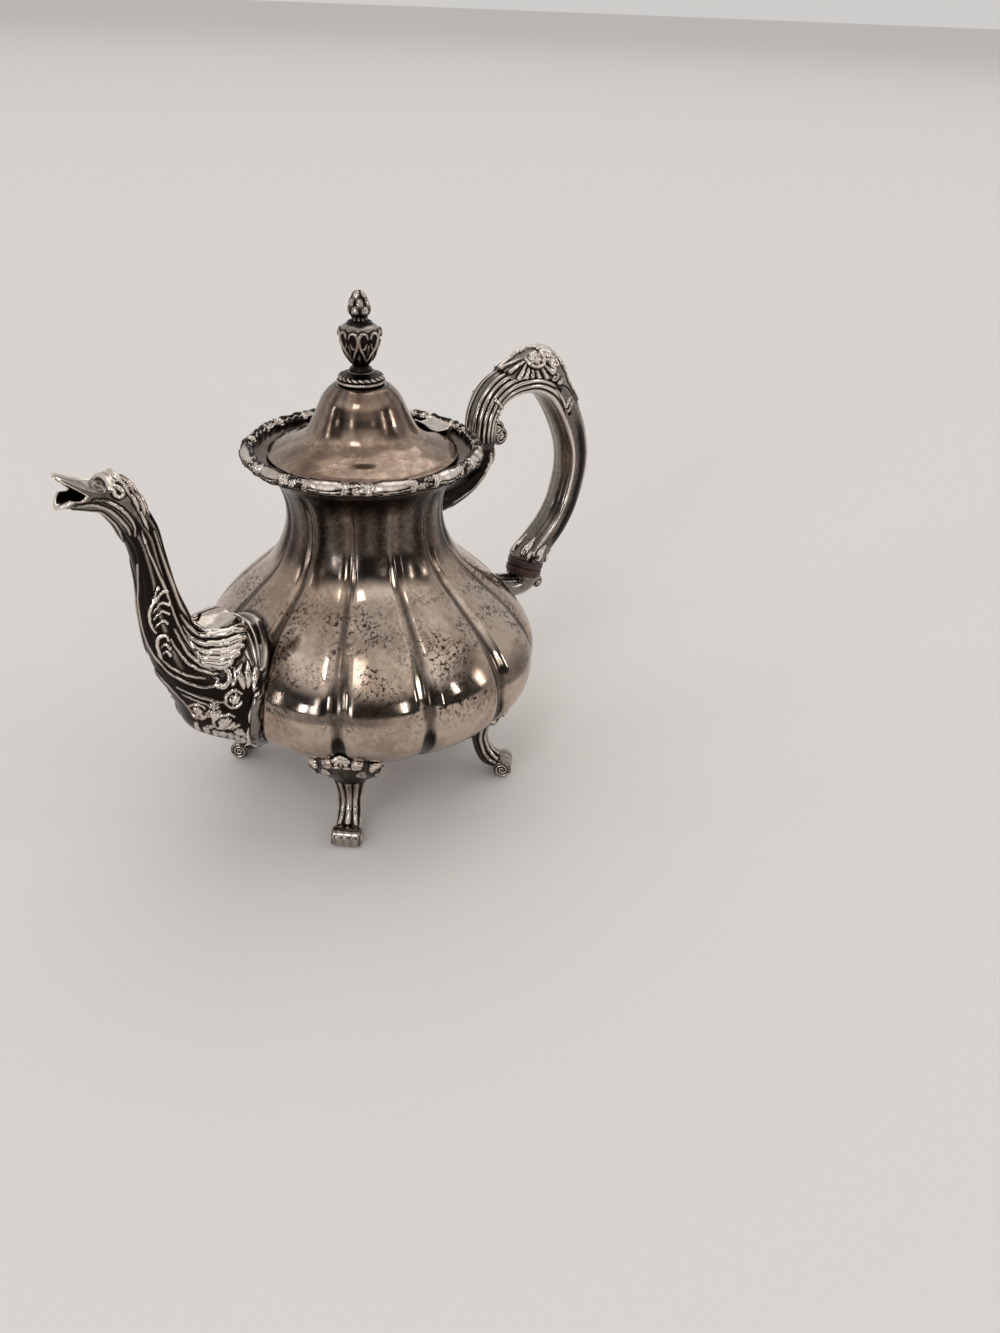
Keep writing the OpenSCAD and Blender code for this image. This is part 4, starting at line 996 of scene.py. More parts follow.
    # brow: a scroll over the head, with leaves that run down the back of the neck
    put([(-119.6, 0, 184.6, 1.1, 1.3), (-119.6, -3.0, 184.2, 1.15, 1.5), (-119.8, -5.6, 182.4, 1.1, 1.5),
         (-119.4, -7.4, 179.6, 1.0, 1.3), (-117.2, -7.8, 177.2, 0.8, 1.1), (-115.2, -7.8, 178.6, 0.7, 1.2),
         (-116.2, -7.4, 180.8, 0.6, 1.2)])
    put([(-123.4, 0, 179.0, 0.6, 0.9), (-123.2, -2.2, 179.2, 0.8, 1.1), (-122.4, -4.2, 179.6, 0.8, 1.2),
         (-121.0, -5.4, 180.0, 0.7, 1.1), (-120.4, -3.8, 180.4, 0.5, 0.9)])
    put([(-121.6, 0, 179.8, 0.7, 1.0), (-121.2, -1.8, 180.0, 0.8, 1.2), (-120.6, -2.8, 180.6, 0.6, 1.0)])
    put([(-115.8, 0, 185, 1.3, 1.6), (-115.6, -2.6, 184.4, 1.2, 1.6), (-114.6, -4.8, 182.6, 0.9, 1.3)])
    put([(-117.8, 0, 184.9, 0.6, 0.9), (-117.6, -3.4, 184.0, 0.6, 1.0), (-117.4, -5.4, 182.2, 0.6, 0.9)])
    for p, q, r in (((-118.6, -6.6, 182.4), (-116.2, -7.8, 180.6), (-114.6, -8, 177.4)),
                    ((-115.6, -5.4, 183), (-113.6, -6.6, 180.2), (-112.8, -7.4, 176.4)),
                    ((-113.4, -3.6, 183), (-111.2, -4.8, 179.6), (-110.6, -6, 175.4)),
                    ((-112, -0.6, 182.2), (-109.6, -1.4, 178.2), (-108.4, -2.6, 173.6)),
                    ((-112.4, -6.8, 176.6), (-110.6, -7.4, 172.8), (-110, -7.8, 168.6)),
                    ((-110, -4.8, 175.4), (-108.2, -5.6, 171.2), (-107.6, -6.4, 166.6)),
                    ((-108.4, -2, 174), (-106.6, -2.8, 169.2), (-105.8, -3.6, 164.4)),
                    ((-109.4, -7, 168.8), (-107.8, -7.4, 164.4), (-107, -7.4, 160.6))):
        put([(*p, 0.7, 0.9), (*q, 1.05, 1.3), (*r, 0.4, 0.6)])


# ---------------------------------------------------------------- feet

# the leg's sections: out from the toe, height as a share of the way up, tilt, half-depth and half-width
LEG = [(-4, 0.16, 62, 3.8, 5.6), (-8, 0.21, 44, 4.6, 5.6), (-11.2, 0.33, 32, 4.2, 5.6),
       (-12.8, 0.49, 20, 4.2, 5.8), (-12.5, 0.66, 8, 5.4, 7.2)]


def under_at(x, y, angle):
    """The height of the body's underside over x, y, for a foot that stands at angle."""
    return under_z(np.hypot(x, y), math.radians(angle) + np.arctan2(y, x))


def knee_ring(angle, share, drop, a):
    f = share * (1 - 0.05 * (1 - np.cos(5 * a)))
    x, y = KNEE_AT + f * KNEE_D * np.cos(a), f * KNEE_W * np.sin(a)
    return grid_of(x, y, under_at(x, y, angle) - drop)


def foot(name, angle):
    n = 120
    a = ring_angles(n, -(n // 2))
    under = float(under_z(np.array([KNEE_AT]), np.array([math.radians(angle)]))[0])
    rows = even(curve([(TOE_AT + s[0], s[1] * under, *s[2:]) for s in LEG], 14), 86)
    leg = section(rows, a)
    knee = [knee_ring(angle, share, drop, a) for share, drop in (
        (0.70, 8.6), (0.86, 6.8), (1.0, 4.4), (1.05, 2.0), (1, SEAM), (0.66, SEAM), (0.3, SEAM))]
    plate = []
    for p, q in zip(knee[:4], knee[1:5]):
        plate += [p] + between(p, q, 7)
    top = np.stack(knee[4:])
    outer = np.concatenate([leg, between(leg[-1], knee[0], 10), plate])
    rel = Relief(outer)
    # ridges down the leg, spreading at both ends
    for y0, w in ((0, 1.25), (2.9, 1.05), (-2.9, 1.05), (5.2, 0.8), (-5.2, 0.8)):
        path = []
        for t in np.linspace(0, 1, 9):
            row = rows[int(t * (len(rows) - 1))]
            b = math.asin(max(-0.95, min(0.95, y0 * (1 + 0.35 * (2 * t - 1) ** 2) / row[4])))
            path.append(on_section(row, b, w * (1 + 0.35 * t), 0.8))
        rel.stroke(path, 4)

    # the knee's plate: scrolls and leaf tips round a shell
    def plate_at(turn, up):
        """The plate's point at an angle round it, and from 0 at its foot to 1 at the body."""
        j = int(round((turn % TAU) / TAU * n)) + n // 2
        return plate[int(round(np.clip(up, 0, 1) * (len(plate) - 1)))][j % n]

    def lay(strokes, turn, up, spin=0.0, flip=1):
        e1 = unit(plate_at(turn + 0.12, up) - plate_at(turn - 0.12, up)) * flip
        e2 = unit(plate_at(turn, min(1, up + 0.15)) - plate_at(turn, max(0, up - 0.15)))
        c, s = polar(1, spin)
        rel.motif(strokes, plate_at(turn, up), c * e1 + s * e2, c * e2 - s * e1)

    for side in (1, -1):
        for r, start, turns, w, h, sign, turn, up, spin in (
                (2.3, -40, 1.3, 0.72, 1.5, 1, 0.42, 0.62, 0.2),
                (2.0, 140, 1.3, 0.65, 1.4, -1, 0.95, 0.66, -0.2),
                (1.7, 60, 1.2, 0.6, 1.3, 1, 1.45, 0.6, 0.0),
                (1.6, 200, 1.2, 0.55, 1.2, -1, 0.7, 0.18, 0.0)):
            lay([volute(r, start, turns, w, h, sign)], side * turn, up, spin, side)
        for length, w, h, turn, up, spin in (
                (5.4, 1.9, 1.3, 0.3, 0.9, 0.1), (5.4, 1.8, 1.2, 0.95, 0.95, 0.05),
                (5.0, 1.8, 1.2, 0.55, 0.35, -0.7), (4.6, 1.6, 1.1, 1.2, 0.35, -0.6)):
            lay(leaf(length, w, h), side * turn, up, spin, side)
        lay([[(-1.6, 0, 0.5, 0.9), (0, 0.5, 0.8, 1.3), (1.6, 0, 0.5, 0.9)]], side * 0.16, 0.4, 0.5, side)
    lay(fan(5, 0.6, 4.2, 2.3, 1.5), 0.0, 0.74, -math.pi / 2)
    lay([[(-2.8, -0.6, 0.7, 1.2), (0, 0.6, 1.05, 1.7), (2.8, -0.6, 0.7, 1.2)]], 0.0, 0.92)
    outer = pushed(outer, rel.height() - 0.2)
    x, y, z = np.moveaxis(outer, -1, 0)
    outer = grid_of(x, y, np.maximum(np.minimum(z, under_at(x, y, angle) - SEAM), 0.0))
    # painted shade on the knee's top, hidden against the body
    tone = np.concatenate([rel.tone(0.7, 0.8), np.full(top.shape[:2], HIDDEN_SHADE)])
    skins = [skin_of(np.concatenate([outer, top]), tone), toe()]
    piece(name + "_cast", [(turned(v, angle), f, t) for v, f, t in skins], "pot", [name], CAST)


def turned(v, angle):
    c, s = polar(1, math.radians(angle))
    return np.stack([c * v[:, 0] - s * v[:, 1], s * v[:, 0] + c * v[:, 1], v[:, 2]], 1)


def toe():
    """The scrolled toe: a ribbed barrel with a volute on each end."""
    w = TOE_W

    def ribs(y):
        return np.abs(np.cos(math.pi * (y + w) / (2 * w) * 3.5))

    rim = [(-w + 0.55 - 0.55 * math.cos(t), 3.9 + 0.55 * math.sin(t)) for t in np.linspace(0, math.pi / 2, 6)]
    side = [(-w + 0.1 * math.sin(t * 5), 0.05 + 3.8 * t) for t in np.linspace(0, 1, 26)]
    middle = [(y, TOE_R + 0.04 * ribs(y) ** 0.7) for y in np.linspace(-w + 0.7, w - 0.7, 50)]
    p = np.array(side + rim + middle + [(-y, r) for y, r in (side + rim)[::-1]])
    grid = drum(TOE_AT, TOE_Z, p, 96)
    rel = Relief(grid)
    for y in (-w, w):
        rel.motif([volute(3.6, -30, 1.9, 0.62, 0.55, -1)], (TOE_AT, y, TOE_Z), (1, 0, 0), (0, 0, 1))
    y = p[:, :1]
    tone = np.clip(rel.tone(0.58, 1.2, 0.9) - (np.abs(y) < w - 0.7) * 0.12 * ribs(y), 0, 1)
    grid = pushed(grid, rel.height())
    grid[..., 2] = np.maximum(grid[..., 2], 0.0)
    return skin_of(grid, tone)


# ---------------------------------------------------------------- handle

# the handle's sections from its upper joint to its lower one: x, z, tilt, half-depth and half-width
HANDLE = [(UPPER_JOINT[0], UPPER_JOINT[1] + UPPER_DISC_T, 180, 6.4, 6.8),
          (UPPER_JOINT[0] - 0.5, UPPER_JOINT[1] + UPPER_DISC_T + 5, 176, 6.4, 7.6)] + [
    (BELLY_R + s[0], BELLY_Z + s[1], *s[2:]) for s in (
        (-12.2, 103.8, 162, 6.4, 8), (-8.7, 110.4, 140, 6.6, 8.3), (-2.8, 114.8, 118, 6.9, 8.5),
        (5.5, 116.9, 96, 7, 8.7), (17.3, 116.3, 78, 7.2, 8.8), (28, 111.3, 55, 7.4, 8.8),
        (35.8, 103.6, 38, 8, 8.8), (42.2, 93.6, 27, 8.4, 8.7), (46.8, 84, 15, 8.6, 8.5),
        (49.45, 74.3, 5, 8.6, 8.4), (49.75, 64.6, -4, 8.4, 8.2), (47.8, 54.8, -13, 8.1, 8.1),
        (44.5, 44.8, -24, 7.9, 8.1), (38.2, 35.1, -38, 7.9, 8.1), (30.4, 27.6, -46, 8, 8.2),
        (24.6, 22.8, -34, 8.4, 8.6))] + [
    (LOWER_JOINT[0] + DISC_T * math.sin(LEAN), LOWER_JOINT[1] + DISC_T * math.cos(LEAN), -16,
     DISC_R - 0.2, DISC_R - 0.2)]
HANDLE_ROWS = curve(HANDLE, 20)


def grip():
    a = ring_angles(144, -72)
    rows = even(HANDLE_ROWS, 340)
    grid = section(rows, a)
    # t runs from 0 at the upper joint to 1 at the lower, c is the angle from the handle's outer side
    t = np.linspace(0, 1, len(rows))[:, None]
    c = np.degrees(np.abs(a))

    def ridge(at, wide, high, t0, t1, run):
        return high * dome(c, at, wide) ** 0.6 * smooth(t, t0, t0 + run) * fade(t, t1 - run, t1)

    ridges = [ridge(at, wide, high, -0.1, 0.47 if at > 90 else 0.38, 0.1) for at, wide, high in (
        (20, 8, 0.55), (40, 8, 0.65), (60, 8, 0.75), (80, 8, 0.85), (100, 8, 0.85), (121, 9, 0.9))]
    ridges += [ridge(at, wide, high, 0.42, 0.80, 0.08) for at, wide, high in (
        (10, 5, 0.45), (25, 5.5, 0.55), (41, 6, 0.6))]
    h = np.max(ridges + [ridge(123, 7, 0.9, 0.3, 1.02, 0.1)], 0)
    groove = -0.4 * peak(c, 109, 5) * smooth(t, 0.36, 0.5)
    flat = -0.9 * smooth(c, 128, 150)
    cuff = 0.9 + 0.35 * np.cos(7 * a) * fade(t, 0.985, 1.0)
    cuff = cuff * smooth(t, 0.962, 0.975) * (1 - 0.8 * smooth(t, 0.992, 1.0))
    rel = Relief(grid)
    handle_ornament(rel, rows)
    # patina beside the ridges, between them, above the cuff and at the upper joint, with a painted dark
    # reflection band and a painted highlight stripe along the lower part of the grip
    tone = np.clip(0.60 + 0.4 * smooth(np.abs(h), 0.0, 0.02) * (h < 0.25) - 0.46 * h, 0, 1)
    tone = tone + 0.4 * peak(c, 78, 20) * smooth(t, 0.46, 0.6) * fade(t, 0.86, 0.95)
    tone = tone - 0.5 * peak(c, 52, 7) * smooth(t, 0.46, 0.6)
    more = [0.7 * peak(c, 111, 3) * smooth(t, 0.3, 0.4)]
    more += [0.85 * peak(c, at, 3.2) * fade(t, 0.32, 0.42) for at in (10, 30, 50, 70, 90, 110.5)]
    more += [0.7 * peak(c, at, 2.4) * smooth(t, 0.44, 0.5) * fade(t, 0.7, 0.8) for at in (17.5, 33)]
    more += [0.85 * smooth(t, 0.93, 0.962) * fade(t, 0.962, 0.97) * (0.6 + 0.4 * np.cos(7 * a))]
    more += [0.55 * fade(t, 0.0, 0.07) + 0 * c, rel.tone(0.0, 0.5, 0.8)]
    tone = np.clip(np.max([tone] + more, 0) - 0.8 * np.clip(rel.height(), 0, 1), 0, 1)
    out = pushed(grid, h + groove + flat + cuff + rel.height())
    out[..., 0] -= 0.5 * smooth(out[..., 0], 128, 140.5)
    skins = [skin_of(out, tone)]
    for x, z, r, half in ((9.0, 0.6, 4.5, 4.6), (6.6, 4.6, 4.3, 5.0)):
        skins.append(scroll(UPPER_JOINT[0] + x, UPPER_JOINT[1] + UPPER_DISC_T + z, r, half))
    piece("handle_grip_cast", skins, "pot", ["handle_grip"], CAST)


def scroll(x, z, r, half, turns=1.8, petals=7):
    """A volute's end: a short drum across the handle with a curl and a small flower on each face."""
    face = [(-half + 0.35 * math.sin(3 * u), 0.05 + (r - 0.7) * u) for u in np.linspace(0, 1, 24)]
    face += [(-half + 0.7 - 0.7 * math.cos(t), r - 0.7 + 0.7 * math.sin(t))
             for t in np.linspace(0, math.pi / 2, 6)]
    rim = [(y, r - 0.35 * (1 - abs(y) / half)) for y in np.linspace(-half + 0.9, half - 0.9, 16)]
    grid = drum(x, z, face + rim + [(-y, q) for y, q in face[::-1]], 84)
    rel = Relief(grid)
    for y in (-half, half):
        rel.motif([volute(r - 0.5, 150, turns, 0.6, 0.8, -1)], (x, y, z), (1, 0, 0), (0, 0, 1))
        rel.motif(rosette(0.42 * r, petals, 0.9), (x, y, z), (1, 0, 0), (0, 0, 1))
    return skin_of(pushed(grid, rel.height()), rel.tone(0.6, 0.8))


def handle_ornament(rel, rows):
    """The grip's ridges and small leaves, whose points were found as in spout_ornament."""
    def put(stroke):
        rel.stroke(stroke, 5, mirror=True)

    # ridges under the shell that follow the grip's side, and the small leaves below its tail
    put(line([(107.9, -8.6, 182.2), (112.6, -8.7, 176.4), (116.2, -8.6, 170.6), (118.6, -8.4, 164)],
             0.7, 0.6, 0.5))
    put(comma([(121.5, -6.6, 174.6), (118.6, -7.8, 173.6), (116.4, -8.4, 170.6)], 1.0, 1.1))
    put(comma([(123.4, -6.2, 171.8), (120.6, -7.6, 171.2), (118.4, -8.4, 168)], 0.9, 1.0))
    # the leaf under the volute at the upper end
    for z in (167.5, 172, 176.5):
        put(comma([(74.6, -3.6, z), (73.4, -5.6, z + 2.2), (71.6, -6.6, z + 4.6)], 0.9, 1.0))
    # leaf tips that lap up the grip from the cuff
    for b in ring_angles(7):
        rel.stroke([on_section(rows[int(share * len(rows))], b, w, h) for share, w, h in (
            (0.985, 1.6, 0.5), (0.968, 1.9, 1.0), (0.95, 1.2, 0.9), (0.938, 0.5, 0.5))], 4)


# the shell on the handle, from front to back: its height as a share of SHELL_H and how far round it reaches
SHELL = [(0.1, 58), (0.27, 62), (0.5, 66), (0.85, 70), (1, 70), (0.7, 66), (0.3, 50), (0.14, 36), (0.17, 30),
         (0.17, 24), (0.05, 14)]


def handle_shell():
    """The shell on top of the grip. The points of its strokes were found as in spout_ornament."""
    m = 90
    u = np.linspace(-1, 1, m)
    rings = []
    for k, share, wide in resampled(curve([(i, *s) for i, s in enumerate(SHELL)], 12), 150):
        at = SHELL_AT + SHELL_STEP * k
        x, z, tilt, d, w = (np.interp(at, np.arange(len(HANDLE_ROWS)), column) for column in HANDLE_ROWS.T)
        b = np.radians(wide * u)
        over = SEAM + 0.5 + SHELL_H * share * np.cos(0.5 * math.pi * u)
        over[0], over[-1] = SEAM, SEAM
        rings.append(np.concatenate([section([(x, z, tilt, d + t, w + t)], np.array([angle]))[0]
                                     for t, angle in zip(over, b)]
                                    + [section([(x, z, tilt, d + SEAM, w + SEAM)], b[::-6])[0]]))
    grid = np.stack(rings)
    rel = Relief(grid[:, :m])

    def put(stroke):
        rel.stroke(stroke, 5, mirror=True)

    # ribs from the rosette down both sides and forward
    for s, e, w in (
            ((90.4, -2.6, 196.6), (80.8, -0.6, 191.9), 1.0), ((90.6, -4.4, 195.6), (82.2, -4.2, 191.2), 1.1),
            ((90.8, -6, 194.6), (84.4, -7.8, 189.6), 1.2), ((91.4, -7.2, 193.2), (88.2, -8.6, 188.6), 1.25),
            ((93, -8.0, 192.2), (92.6, -9, 187.6), 1.3), ((95.6, -8.6, 191.8), (97.2, -9.2, 187.2), 1.3),
            ((98.4, -8.8, 192.4), (101.6, -9.6, 188.2), 1.25),
            ((100.2, -8.6, 193.6), (104.6, -9.6, 190), 1.1)):
        put([(*s, 0.5 * w, 0.9), (*(0.5 * np.add(s, e)), 0.85 * w, 1.2), (*e, w, 1.5)])
    # crescent and rosette boss
    crescent = [(4.7 * math.cos(t), 4.4 * math.sin(t), 0.8, 1.5)
                for t in np.radians(np.linspace(165, 380, 16))]
    for strokes in ([crescent], rosette(3.4, 7, 2.2)):
        rel.motif(strokes, (96.8, -5.3, 196.6), (1, 0, 0), (0, 0.75, 0.65), True)
    # curled crest behind, and the leaf tail with its small volutes
    for p, q, r in (((101.6, -1.6, 200), (105.2, -2.4, 200.2), (108.4, -2.6, 198.2)),
                    ((101.8, -4, 199.2), (105.6, -5, 198.6), (108.6, -5.6, 195.8)),
                    ((102.4, -6.2, 197.6), (105.8, -7.4, 196), (107.6, -8.2, 192.4)),
                    ((102.6, -7.8, 195.6), (104.8, -8.8, 193.6), (105.6, -9.4, 190.4))):
        put([(*p, 0.9, 1.3), (*q, 1.45, 1.9), (*r, 1.0, 1.8)])
    put([(103, 0, 200.4, 1.3, 1.4), (107, 0, 200, 1.5, 1.8), (110.6, 0, 197.4, 1.1, 1.5)])
    for i, t in enumerate(np.linspace(0.05, 0.95, 7)):
        c = np.array([108.4, 0, 196.4]) * (1 - t) + np.array([129, 0, 171.4]) * t
        w = 6.6 * (1 - t) + 1.6
        p = c + np.array([0.3, -0.15 * w, 1.0])
        q = c + np.array([-0.2, -0.65 * w, 0.2])
        r = c + np.array([2.4, -0.98 * w, -3.2])
        put([(*p, 0.6, 0.8), (*q, 1.05, 1.3), (*r, 0.6, 1.1)])
    put([(109, 0, 196, 0.7, 1.1), (116, 0, 188.6, 0.75, 1.2), (123, 0, 180, 0.65, 1.0),
         (130, 0, 170.6, 0.4, 0.6)])
    for at, r in (((106.8, -9, 187.4), 2.0), ((110.6, -9, 184.4), 1.7)):
        rel.motif([volute(r, 100, 1.2, 0.55, 1.2, -1)], at, (0.8, 0, -0.6), (0.6, 0, 0.8), True)
    height = np.zeros(grid.shape[:2])
    height[:, 1:m - 1] = rel.height()[:, 1:m - 1] - 0.15
    # painted shade on the strip hidden under the shell
    tone = np.full(grid.shape[:2], 0.9)
    tone[:, :m] = rel.tone(0.6, 0.72)
    skin = skin_of(pushed(grid, height), tone)
    piece("handle_shell_cast", [skin], "pot", ["handle_shell"], CAST)


# ---------------------------------------------------------------- brackets


def bracket_grid(z, half, wide, stations, n, count):
    """A bracket that flares from an oval on the body, at height z, and runs through the stations."""
    a = ring_angles(n, -(n // 2))
    roots = [side_ring(SEAM, z, f * half, f * wide, a, 1) for f in (0.35, 0.7, 0.92, 1)]
    tube = section(even(curve(stations, 14), count), a)
    return np.concatenate([roots, between(roots[-1], tube[0], 7), tube]), a


def upper_bracket():
    x, z = UPPER_JOINT
    grid, a = bracket_grid(NECK_Z - 4, 8, 6.5, [
        (NECK_R + 9, NECK_Z - 5, 88, 5.4, 5.6), (x - 16, z - 20.6, 98, 4.6, 5),
        (x - 8, z - 17.4, 118, 4.2, 5), (x - 2, z - 12.2, 140, 4.4, 5.2),
        (x + 0.6, z - 6.4, 163, 5.2, 5.8), (x, z, 180, 6.4, 6.4)], 84, 110)
    t = np.linspace(0, 1, len(grid))[:, None]
    c = np.degrees(np.abs(a))
    ridges = np.maximum(0.55 * dome(c, 100, 9), 0.5 * dome(c, 150, 9))
    ridges = ridges * smooth(t, 0.12, 0.2) * fade(t, 0.9, 0.98)
    rel = Relief(grid)
    for y in (-4.6, 4.6):
        rel.stroke([(x + 3.6, y, z - 8, 0.9, 0.9), (x + 5.4, y * 0.9, z - 4, 1.1, 1.2),
                    (x + 5.6, y * 0.7, z - 0.8, 0.8, 0.8)], 5)
        rel.stroke([(x - 1, y * 1.1, z - 11, 0.8, 0.8), (x + 1.2, y * 1.15, z - 6, 1.0, 1.1),
                    (x + 1.4, y * 1.2, z - 1.6, 0.8, 0.8)], 5)
    tone = np.clip(rel.tone(0.92, 0.7) - ridges, 0, 1)
    skin = skin_of(pushed(grid, ridges + rel.height() - 0.15), tone)
    piece("upper_bracket_cast", [skin], "pot", ["upper_bracket"], CAST)


def lower_bracket():
    """The arm, a leaf-ribbed root, and a tail under the arm that ends in a scroll."""
    x, z = LOWER_JOINT[0] - DISC_T * math.sin(LEAN), LOWER_JOINT[1] - DISC_T * math.cos(LEAN)
    grid, _ = bracket_grid(BELLY_Z + 7.5, 9, 8, [
        (BELLY_R + 6.7, BELLY_Z + 6, 92, 6.8, 7.4), (BELLY_R + 12.7, BELLY_Z + 6, 108, 5.8, 7),
        (x - 2.4, z - 4.6, 138, 6.4, 7.4), (x, z, 164, DISC_R - 0.7, DISC_R - 0.7)], 84, 90)
    rel = Relief(grid)
    for y, w in ((0, 1.0), (3, 0.8), (-3, 0.8), (5.6, 0.7), (-5.6, 0.7)):
        rel.stroke([(BELLY_R + 2, y, BELLY_Z + 14, w, 0.5), (BELLY_R + 8, y, BELLY_Z + 12.4, w, 0.7),
                    (BELLY_R + 13, y, BELLY_Z + 11, w, 0.5)], 5)
    tail = [(BELLY_R + out, BELLY_Z + up, *rest) for out, up, *rest in (
        (9.5, 2.6, 90, 1.6, 4.0), (14, 1.7, 92, 2.0, 4.4), (19, 2.4, 94, 2.5, 4.5), (24, 4.2, 100, 2.6, 4.5),
        (26, 5.0, 104, 2.2, 4.4))]
    strip = section(even(curve(tail, 8), 40), ring_angles(48))
    skins = [skin_of(pushed(grid, rel.height()), rel.tone(0.58, 0.7, 0.85)),
             scroll(BELLY_R + 26.4, BELLY_Z + 5.2, 3.3, 5.0, 1.4, 5), skin_of(strip, 0.45)]
    piece("lower_bracket_cast", skins, "pot", ["lower_bracket"], CAST)


# ---------------------------------------------------------------- hinge leaf


def hinge_leaf():
    """The lid's leaf: a saddled strip with a rolled edge at each side, and the lid's knuckle below it."""
    x, z = HINGE_AT
    roll = [(x + LEAF_OUT * math.cos(t), z + LEAF_OUT * math.sin(t))
            for t in np.radians(np.arange(150, 44, -7.5))]
    saddle = curve([(25.6, 179.9), (28.3, 178.2), (31.9, 175.2), (36.7, 173.4), roll[0]], 10)[:-1]
    top = even(np.concatenate([saddle, roll]), 64)
    side = offset(top, 1) - top
    edge = [(-LEAF_W, -LEAF_T)] + [(-LEAF_W + y, h) for y, h in (
        (-0.1, -0.35), (0, 0.0), (0.2, 0.16), (0.45, 0.2), (0.7, 0.14), (0.95, 0.0))]
    across = edge + [(y, 0.0) for y in np.linspace(-4.6, 4.6, 15)] + [(-y, h) for y, h in edge[::-1]]
    across += [(y, -LEAF_T) for y in np.linspace(4.6, -4.6, 9)]
    y, h = np.array(across).T
    wider = 1 + 0.3 * smooth(top[:, :1], 25.8, 28.5) * fade(top[:, :1], x + 0.2, x + 2.4)
    grid = grid_of(top[:, :1] + side[:, :1] * h, y * wider, top[:, 1:] + side[:, 1:] * h)
    # painted shade under the leaf, clean on its rolled edges
    tone = np.where(h > 0.1, 0.0, np.where(h > -0.1, 0.22, 0.92))
    knuckle = drum(x, z, [(-2.0, 0.05), (-2.0, 2.3), (-1.9, 2.4), (1.9, 2.4), (2.0, 2.3), (2.0, 0.05)], 48)
    piece("hinge_leaf_sheet", [skin_of(grid, tone), skin_of(knuckle, 0.6)], "lid", ["lid_hinge_leaf"],
          CAST)


# ---------------------------------------------------------------- all the pieces


def assign(metal, *nodes):
    """Gives CAD nodes that show as they are their material."""
    for n in nodes:
        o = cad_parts[n]
        o.data.materials.clear()
        o.data.materials.append(metal)


for build in (body, lid, finial_collar, finial_urn, border, spout, grip, handle_shell, hinge_leaf,
              upper_bracket, lower_bracket):
    build()
for name, angle in (("foot_front_left", 180 + FOOT_ANGLE), ("foot_front_right", -FOOT_ANGLE),
                    ("foot_back_right", FOOT_ANGLE), ("foot_back_left", 180 - FOOT_ANGLE)):
    foot(name, angle)
assign(FLANGE_IN_SHADE, "mouth_flange")
assign(LID_SHEET, "lid_bezel")
assign(SHEET, "base_disc")
assign(PLAIN, "hinge_block", "hinge_pin", "upper_handle_pin", "lower_handle_pin", "finial_screw",
       "finial_washer", "finial_nut")
assign(FIBRE_GREY, "upper_insulator", "lower_insulator_grey")
assign(FIBRE_RED, "lower_insulator_red")

# ---------------------------------------------------------------- stage

FLOOR_R, FLOOR_Z, FLOOR_COLOUR, FLOOR_ROUGHNESS = 60.0, -0.0002, (0.80, 0.765, 0.745), 0.85


def floor():
    pale, surface = material("floor_pale")
    surface["Base Color"].default_value = (*FLOOR_COLOUR, 1)
    surface["Roughness"].default_value = FLOOR_ROUGHNESS
    me = bpy.data.meshes.new("floor")
    me.from_pydata([(*polar(FLOOR_R, t), FLOOR_Z) for t in ring_angles(96)], [], [list(range(96))])
    me.materials.append(pale)
    o = bpy.data.objects.new("floor", me)
    bpy.context.scene.collection.objects.link(o)


floor()

# ---------------------------------------------------------------- camera, measured from the photograph, in m

CAMERA_AT = (-0.2754, -0.4054, 0.3445)
FORWARD = Vector((0.5751, 0.6434, -0.5053)).normalized()
RIGHT = Vector((0.7580, -0.6514, 0.0333))
RIGHT = (RIGHT - FORWARD * RIGHT.dot(FORWARD)).normalized()
UP = RIGHT.cross(FORWARD)
# the focal length and the photograph's height, both in its pixels, and the sensor's height in mm
FOCAL_PX, PHOTO_H_PX, SENSOR_H = 1135.7, 1333, 36.0

camera = bpy.data.objects.new("camera", bpy.data.cameras.new("camera"))
camera.data.sensor_fit = "VERTICAL"
camera.data.sensor_height = SENSOR_H
camera.data.lens = FOCAL_PX / PHOTO_H_PX * SENSOR_H
camera.data.clip_start = 0.02
TURN = zip(RIGHT, UP, -FORWARD)
camera.matrix_world = Matrix([(*row, at) for row, at in zip(TURN, CAMERA_AT)] + [(0, 0, 0, 1)])
bpy.context.scene.collection.objects.link(camera)
bpy.context.scene.camera = camera

# ---------------------------------------------------------------- light

LOOK_AT = Vector((0, 0, 0.1))
COOL, PALE_COOL, SOFT_COOL = (0.92, 0.96, 1.0), (0.94, 0.97, 1.0), (0.95, 0.97, 1.0)
CLEAR_COOL, SOFT_WARM, WARM = (0.93, 0.96, 1.0), (1.0, 0.98, 0.95), (1.0, 0.97, 0.93)


def lamp(name, azimuth, height, distance, size, level, colour):
    """A softbox seen from the pot at azimuth and height in degrees, with level as its own brightness."""
    data = bpy.data.lights.new(name, "AREA")
    data.shape = "RECTANGLE"
    data.size, data.size_y = size
    data.energy = math.pi * size[0] * size[1] * level
    data.color = colour
    out, up = polar(distance, math.radians(height))
    at = LOOK_AT + Vector((*polar(out, math.radians(azimuth)), up))
    o = bpy.data.objects.new(name, data)
    o.location = at
    o.rotation_euler = (LOOK_AT - at).to_track_quat("-Z", "Y").to_euler()
    bpy.context.scene.collection.objects.link(o)


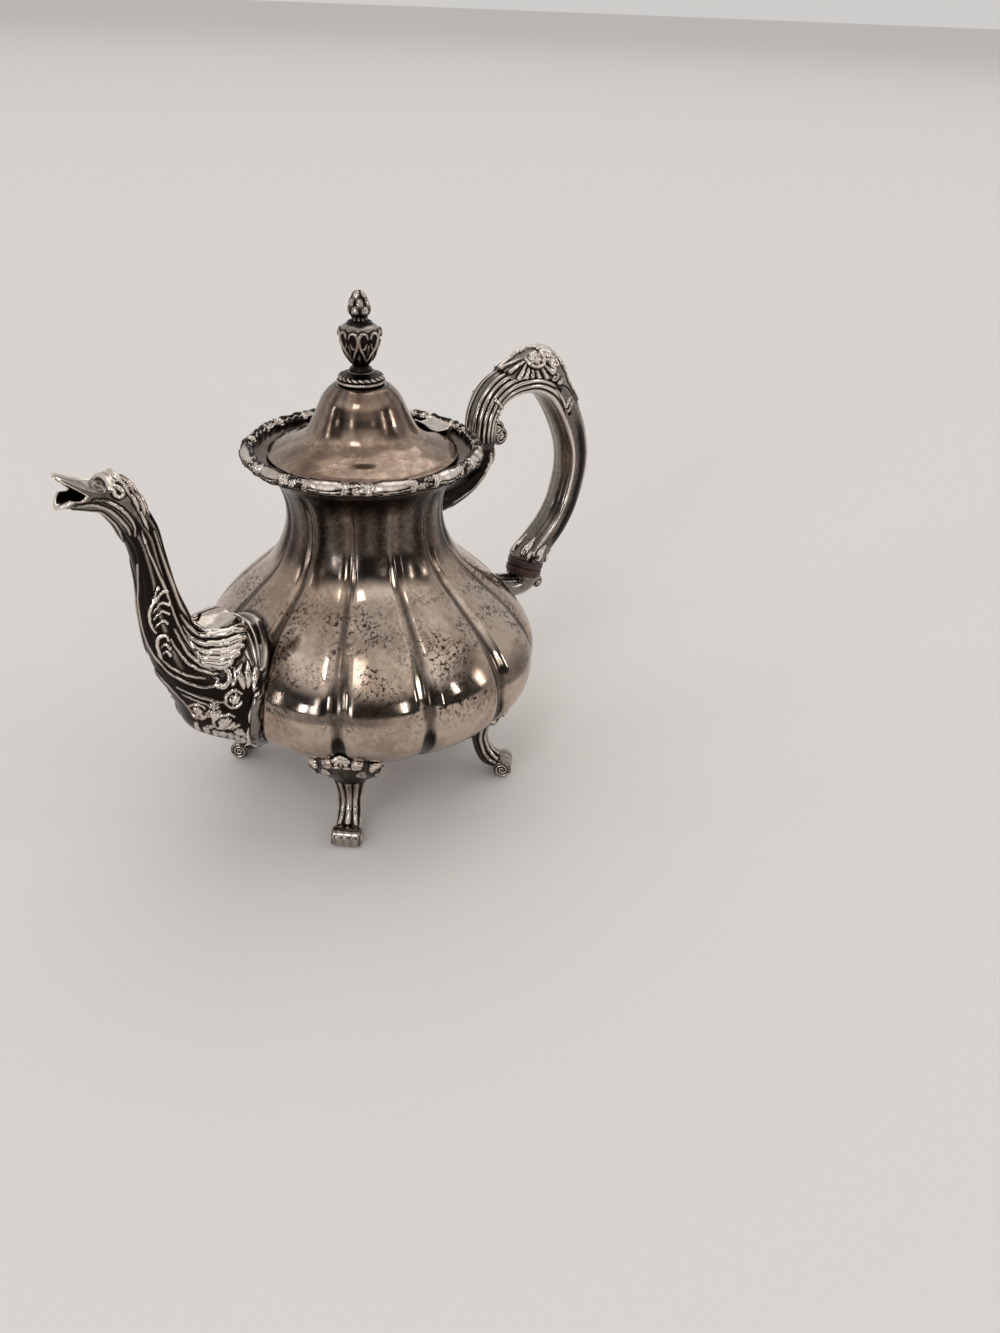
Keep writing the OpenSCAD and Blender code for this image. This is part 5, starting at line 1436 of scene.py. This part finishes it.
# far enough away to light the floor evenly, and narrow enough to show as windows in the metal
lamp("window_left", 196, 10, 9.0, (1.0, 1.9), 13, COOL)
lamp("window_left_2", 206, 10, 9.0, (0.9, 1.9), 11, PALE_COOL)
lamp("window_side", 172, 13, 9.0, (0.6, 2.4), 9, SOFT_COOL)
lamp("window_front", 262, 16, 9.0, (0.6, 2.4), 10, SOFT_WARM)
lamp("window_right", 318, 14, 9.0, (0.8, 2.2), 9, WARM)
lamp("window_high_side", 150, 22, 9.0, (0.5, 1.8), 8, CLEAR_COOL)
lamp("window_high_left", 208, 22, 9.0, (0.45, 1.8), 9, CLEAR_COOL)
lamp("window_high_right", 292, 22, 9.0, (0.5, 1.8), 8, SOFT_WARM)
lamp("overhead_front", 215, 50, 10.0, (2.4, 2.4), 4.2, (1, 1, 1))
lamp("overhead_back", 40, 62, 10.0, (9.0, 8.0), 0.7, (1, 0.99, 0.97))

# the room: even and pale behind the pot. On the camera's side it is dark between floor and ceiling, and the
# ceiling is dimmer again straight overhead
TOWARD_CAMERA_X, TOWARD_CAMERA_Y = -0.559, -0.829
BACK_LEVEL, ROOM_TINT = 0.62, (1.0, 0.975, 0.95)

world = bpy.data.worlds.new("studio")
bpy.context.scene.world = world
world.use_nodes = True
g = Graph(world.node_tree, "Generated")
near_side = g.ramp(g.plus(g.times(g.x, TOWARD_CAMERA_X), g.times(g.y, TOWARD_CAMERA_Y)), -0.15, 0.2)
low = g.ramp(g.z, 0.012, 0.04, 0.62, 0.06)
high = g.ramp(g.z, 0.42, 0.68, 0.0, 0.96)
zenith = g.ramp(g.z, 0.66, 0.95, 0.0, -0.42)
banded = g.plus(g.plus(low, zenith), high)
level = g.plus(g.times(near_side, banded), g.times(g.minus(1.0, near_side), BACK_LEVEL))
tint = g.add("ShaderNodeCombineColor")
for socket, k in zip(tint.inputs, ROOM_TINT):
    g.feed(socket, g.times(level, k))
g.feed(world.node_tree.nodes["Background"].inputs["Color"], tint.outputs[0])

bpy.context.scene.view_settings.view_transform = "Standard"
